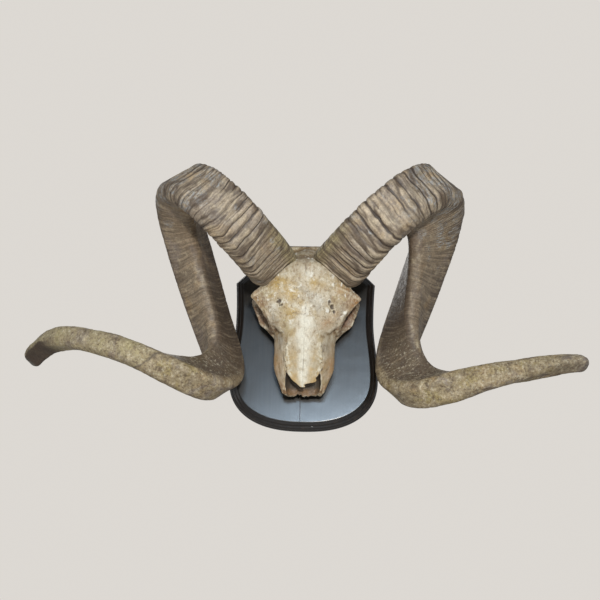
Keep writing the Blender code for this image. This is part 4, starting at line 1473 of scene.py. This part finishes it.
def make_nasal_bone(name, side, seed, skull, surface):
    """A thin curved sheet that runs into the face above, with a frayed edge and a broken tip below."""
    long_count, wide_count = 220, 46
    first, last = NASAL_WIDTHS[0][0], NASAL_WIDTHS[-1][0]
    levels = np.linspace(first, last, long_count)
    half = smooth(NASAL_WIDTHS, levels)[:, 1]
    crest = smooth(NASAL_CREST, levels)[:, 1]
    flat = on_line(levels, seed * 9.7)
    fray = step_up(levels, -114, -98) * (1 - step_up(levels, -52, -34))
    edge = half + fray * (2.4 * noise(flat, 5.2, seed) + 1.8 * noise(flat, 2.3, seed + 1) - 1.2)
    nick = 1.6 * noise(flat, 7, seed + 2) + 0.9 * noise(flat, 3, seed + 3)
    edge = np.maximum(edge + nick * (1 - step_up(levels, -114, -102)), GAP)
    if side > 0:
        blunt = 6.0 * np.exp(-(((levels + 115) / 4.0) ** 2))
        notch = 6.0 * np.exp(-(((levels + 122.5) / 3.0) ** 2))
        edge = np.maximum(edge + blunt - notch, 2.0)
    share = np.linspace(0, 1, wide_count)
    across = NASAL_PARTING + share[None, :] * (edge[:, None] - NASAL_PARTING)
    drop = NASAL_EDGE_DROP * (across / 28) ** 2
    top = crest[:, None] - drop
    face = height_beside(skull, levels, half)
    step = (face - crest + NASAL_EDGE_DROP * (half / 28) ** 2) * step_up(levels, -66, -36)
    into_face = step_up(levels, last - 22, last - 4)[:, None]
    top += step[:, None] * (share[None, :] ** 2 * (1 - into_face) + into_face)
    deep = levels[:, None] + 0 * across
    grid = np.stack([across, top, deep], axis=-1).reshape(-1, 3)
    lump = 0.5 * rough(grid, 14, 3, seed + 5).reshape(top.shape)
    ragged = 4.0 * noise(grid, 9, seed + 7).reshape(top.shape)
    fringe = step_up(across - edge[:, None] + ragged, -10, -5) * fray[:, None]
    crust = fringe * step_up(rough(grid, 5.5, 3, seed + 6).reshape(top.shape), -0.30, 0.15)
    lump += 0.6 * crust
    thin = NASAL_SHEET - 1.8 * share[None, :] ** 4
    sheets = (top + np.minimum(lump, 1.0), top - thin)
    points = np.vstack([np.stack([side * across, sheet, deep], axis=-1).reshape(-1, 3) for sheet in sheets])
    points = np.column_stack(place(*points.T))
    size = long_count * wide_count
    faces = []
    for i in range(long_count - 1):
        for j in range(wide_count - 1):
            a = i * wide_count + j
            quad = (a, a + 1, a + wide_count + 1, a + wide_count)
            faces.append(quad)
            faces.append(tuple(size + q for q in quad[::-1]))
    loop = [(i, 0) for i in range(long_count)] + [(long_count - 1, j) for j in range(1, wide_count)]
    loop += [(i, wide_count - 1) for i in range(long_count - 2, -1, -1)]
    loop += [(0, j) for j in range(wide_count - 2, 0, -1)]
    ids = [i * wide_count + j for i, j in loop]
    for a, b in zip(ids, ids[1:] + ids[:1]):
        faces.append((a, b, b + size, a + size))
    item = object_from(name + "_sheet", points, faces, shown)
    mark(item, "edge", np.tile(share, 2 * long_count))
    mark(item, "level", np.tile(np.repeat(levels, wide_count), 2))
    mark(item, "crust", np.tile(crust.reshape(-1), 2))
    mark_all(item, {name: stains(*on_skull(points), STAINS_AND_SHADE[name]) for name in ("white", "ochre")})
    dress(item, name, surface)


def nasal_surface():
    s = Surface("pale bone")
    edge, level = s.value("edge"), s.value("level")
    mottle = bone_ground(s)
    patches = s.noise(34, 4.0, 0.6)
    low = s.ramp(level, -36, -96)
    s.paint((192, 176, 144), low, 0.5)
    sides = s.times(low, s.ramp(edge, 0.15, 0.45))
    s.paint((176, 146, 98), sides, s.ramp(patches, 0.38, 0.58, 0.2, 1.0))
    middle = s.times(s.ramp(edge, 0.5, 0.06, 0, 0.9), s.ramp(mottle, 0.36, 0.56, 0.35, 0.9))
    s.paint((216, 208, 188), middle)
    s.paint((216, 206, 182), s.value("crust"), s.ramp(mottle, 0.36, 0.56, 0.4, 0.9))
    suture = s.times(s.ramp(edge, 0.05, 0.0), s.ramp(s.noise(70), 0.4, 0.6, 0.0, 0.5))
    s.paint((124, 104, 78), suture, low)
    s.paint((120, 94, 66), low, s.ramp(edge, 0.96, 1.0), 0.6)
    streaks = s.streaks((380, 380, 60), 4.0, 0.6)
    s.shade(streaks, 0.3, 0.7, 0.88, 1.06)
    s.shade(s.noise(500, 3.0, 0.65), 0.35, 0.65, 0.90, 1.05)
    s.bump(streaks, 0.4)
    s.bump(mottle, 0.6)
    s.bump(s.noise(700, 3.0, 0.6), 0.25)
    return s.finish(s.ramp(s.noise(150), 0.35, 0.7, 0.42, 0.64))


# Teeth


def make_tooth_row(name, side, seed, surface):
    """Six cheek teeth, each of two lobes, with folds down their sides and worn crowns."""
    group = new_collection(name + " pieces")
    turns = turns_of(88)
    along = squarish(np.sin(turns), 0.7)
    across = squarish(np.cos(turns), 0.6)
    lobes = 0.90 + 0.14 * np.cos(2 * math.pi * along)
    styles = 0.5 * np.cos(along * 6 * math.pi) * (np.cos(turns) > 0)
    for level, middle, length in teeth():
        rings = []
        for height in np.linspace(TOOTH_FOOT, TOOTH_NECK, 40):
            up = (height - TOOTH_FOOT) / (TOOTH_NECK - TOOTH_FOOT)
            size = 0.93 + 0.08 * math.sin(math.pi * min(1, up * 1.3)) - 0.10 * step_up(up, 0.6, 1.0)
            size -= 0.07 * (1 - step_up(up, 0.0, 0.06))
            x = middle + across * (TOOTH_WIDTH / 2 * size * lobes) + styles * 0.6
            z = level + along * (length / 2 - 0.1) * (0.97 + 0.03 * size)
            rings.append([place(side * a, height, b) for a, b in zip(x, z)])
        loft("tooth", rings, group)
    item = fuse(name + "_teeth", group, TOOTH_VOXEL, TOOTH_ROUNDING, shown)
    points = points_of(item)
    moved = points + normals_of(item) * (0.18 * rough(points, 3.0, 2, seed))[:, None]
    moved[:, 1] = np.minimum(moved[:, 1], -TOOTH_FOOT)
    set_points(item, moved)
    mark(item, "hollow", np.clip(0.5 + hollowness(item, 8) * 1.5, 0, 1))
    mark(item, "height", -moved[:, 1])
    dress(item, name, surface)


def tooth_surface():
    s = Surface("worn teeth")
    hollow, height = s.value("hollow"), s.value("height")
    s.colour = (206, 190, 152)
    s.paint((176, 148, 98), s.ramp(s.noise(90, 4.0), 0.42, 0.66, 0, 0.6))
    s.paint((140, 108, 68), s.ramp(height, 38, 46, 0, 0.6))
    # Painted shade in the folds and hollows of the teeth
    s.paint((60, 44, 30), s.ramp(hollow, 0.54, 0.85, 0, 0.9))
    s.paint((104, 78, 50), s.ramp(height, 25, 22.6, 0, 0.7))
    s.shade(s.streaks((500, 60, 500), 4.0), 0.3, 0.7, 0.82, 1.05)
    s.bump(s.noise(600, 3.0), 0.15)
    return s.finish(0.34)


# Plaque


def plaque_outline(inset, fine=1):
    """The plaque's edge moved inwards, as (across, level) points down the right side and up the left."""
    shoulder = np.array(PLAQUE_SHOULDER) - inset * np.array([0.81, 1.0])
    ear = np.array(PLAQUE_EAR) - inset * np.array([1.02, 0.36])
    pull_a = np.array(SHOULDER_PULL) - inset * np.array([0.93, 0.37])
    pull_b = np.array(EAR_PULL) - inset * np.array([0.74, 0.67])
    right = [(x, PLAQUE_TOP - inset) for x in np.linspace(0, shoulder[0], 10 * fine, endpoint=False)]
    for t in np.linspace(0, 1, 8 * fine + 1):
        s = 1 - t
        right.append(tuple(s**3 * shoulder + 3 * s**2 * t * pull_a + 3 * s * t**2 * pull_b + t**3 * ear))
    waist, waist_level = PLAQUE_WAIST
    lobe, lobe_level = PLAQUE_LOBE
    for level in np.linspace(ear[1], lobe_level, 11 * fine + 1)[1:-1]:
        if level > waist_level:
            part = (level - waist_level) / (PLAQUE_EAR[1] - waist_level)
            out = waist + (PLAQUE_EAR[0] - waist) * part**2
        else:
            part = (waist_level - level) / (waist_level - lobe_level)
            out = waist + (lobe - waist) * (1 - math.cos(math.pi * part)) / 2
        right.append((out - inset, level))
    depth = lobe_level - PLAQUE_BOTTOM - inset
    for turn in np.linspace(0, math.pi / 2, 14 * fine + 1):
        across = (lobe - inset) * math.cos(turn) ** (2 / LOBE_SQUARENESS)
        right.append((across, lobe_level - depth * math.sin(turn) ** (2 / LOBE_SQUARENESS)))
    right[-1] = (0.0, PLAQUE_BOTTOM + inset)
    return np.array(with_mirror(right))


CRACK = ((-5.5, -128), (-5.0, -140), (-4.2, -152), (-5.0, -163), (-4.4, -170), (-4.8, -177))
CRACK_WIDTH = 1.1
CRACK_DEPTH = 9
BOARD_MIDDLE = (0.0, -20.0)


def make_crack(group):
    """A thin jagged wedge to cut from the board, from under the bone down to the moulding."""
    levels = np.linspace(CRACK[0][1], CRACK[-1][1], 60)
    line = np.interp(-levels, [-z for _, z in CRACK], [x for x, _ in CRACK])
    flat = on_line(levels)
    line = line + 0.35 * noise(flat, 5, 61) + 0.15 * noise(flat, 1.8, 62)
    share = (CRACK[0][1] - levels) / (CRACK[0][1] - CRACK[-1][1])
    width = CRACK_WIDTH * (0.35 + 0.65 * step_up(share, 0.0, 0.4)) * (1 + 0.3 * noise(flat, 4, 63))
    rings = []
    floor = CRACK_DEPTH - PLAQUE_THICKNESS
    for x, w, z in zip(line, width, levels):
        rings.append([(x - w, -30, z), (x + w, -30, z), (x + w * 0.2, floor, z), (x - w * 0.2, floor, z)])
    return loft("crack", rings, group)


def make_plaque(surface):
    rings = [plaque_outline(inset, 5) for inset, _ in MOULDING]
    centre = np.array(BOARD_MIDDLE)
    back = [(centre + (rings[0] - centre) * share, 0) for share in np.linspace(0.05, 0.99, 12)]
    foot = [(ring, height) for ring, (_, height) in zip(rings, MOULDING)]
    shares = np.linspace(0.99, 0.06, 60)
    field = [(centre + (rings[-1] - centre) * share, PLAQUE_THICKNESS) for share in shares]
    loops = []
    for ring, height in back + foot + field:
        loops.append(np.column_stack([ring[:, 0], np.full(len(ring), -float(height)), ring[:, 1]]))
    item = loft("plaque_board", loops, shown)
    points = points_of(item)
    lift = points[:, 1] < -1
    dents = 0.35 * rough(points, 60, 2, 71) + 0.03 * rough(points * (1, 1, 0.12), 3, 2, 73)
    worn = step_up(rough(points, 8, 2, 75), 0.35, 0.7) * (points[:, 1] > -PLAQUE_THICKNESS + 0.05)
    points[:, 1] += np.where(lift, np.clip(dents, 0, 1) * 0.4 + 0.35 * worn, 0)
    set_points(item, points)
    mark(item, "profile", -points[:, 1])
    group = new_collection("crack")
    make_crack(group)
    cut(item, group)
    mark(item, "edge", np.clip(0.5 - hollowness(item, 2) * 2.2, 0, 1))
    across, height, level = on_skull(points_of(item))
    cracked = (np.abs(across + 5) < 3.5) * (level < CRACK[0][1] + 1) * (level > CRACK[-1][1] - 1)
    mark(item, "crack", cracked * (height < PLAQUE_THICKNESS - 1) * (height > PLAQUE_THICKNESS - 12))
    dress(item, "plaque", surface)
    item.data.set_sharp_from_angle(angle=math.radians(40))


def board_surface():
    s = Surface("varnished board")
    profile, edge = s.value("profile"), s.value("edge")
    grain = s.streaks((160, 160, 7), 5.0, 0.6, warp=0.6)
    cloud = s.noise(30, 4.0, 0.6)
    field = s.ramp(profile, 21.0, 21.8)
    s.colour = (30, 24, 19)
    s.paint((18, 15, 12), s.ramp(grain, 0.38, 0.66, 0, 0.6))
    s.paint(s.mix(s.ramp(grain, 0.35, 0.68), (34, 33, 31), (24, 24, 23)), field)
    s.shade(cloud, 0.3, 0.7, 0.86, 1.16)
    s.paint((62, 50, 40), s.ramp(edge, 0.66, 0.98), s.ramp(s.noise(120), 0.5, 0.75, 0, 0.6))
    s.paint((150, 120, 84), s.ramp(profile, 0.4, 0.05))
    # Painted shade inside the crack
    s.paint((6, 5, 5), s.ramp(s.value("crack"), 0.0, 0.15))
    s.bump(cloud, 0.3)
    s.bump(s.noise(260, 3.0), 0.03)
    s.shader.inputs["Specular IOR Level"].default_value = 0.25
    s.shader.inputs["Coat Weight"].default_value = 0.65
    s.shader.inputs["Coat Roughness"].default_value = 0.19
    return s.finish(s.ramp(cloud, 0.3, 0.7, 0.34, 0.44))


# The whole object, with a seed for the noise of each piece that comes in a pair
SEEDS = {
    "horn_left": 101,
    "horn_right": 202,
    "nasal_bone_left": 301,
    "nasal_bone_right": 311,
    "tooth_row_left": 401,
    "tooth_row_right": 411,
}

make_camera()
make_stage()
horn_look = horn_surface()
for name, horn in HORNS.items():
    make_horn(name, horn, SEEDS[name], horn_look)
skull = make_skull(bone_surface())
nasal_look = nasal_surface()
for name, side in (("nasal_bone_left", -1), ("nasal_bone_right", 1)):
    make_nasal_bone(name, side, SEEDS[name], skull, nasal_look)
tooth_look = tooth_surface()
for name, side in (("tooth_row_left", -1), ("tooth_row_right", 1)):
    make_tooth_row(name, side, SEEDS[name], tooth_look)
make_plaque(board_surface())

bpy.context.view_layer.update()
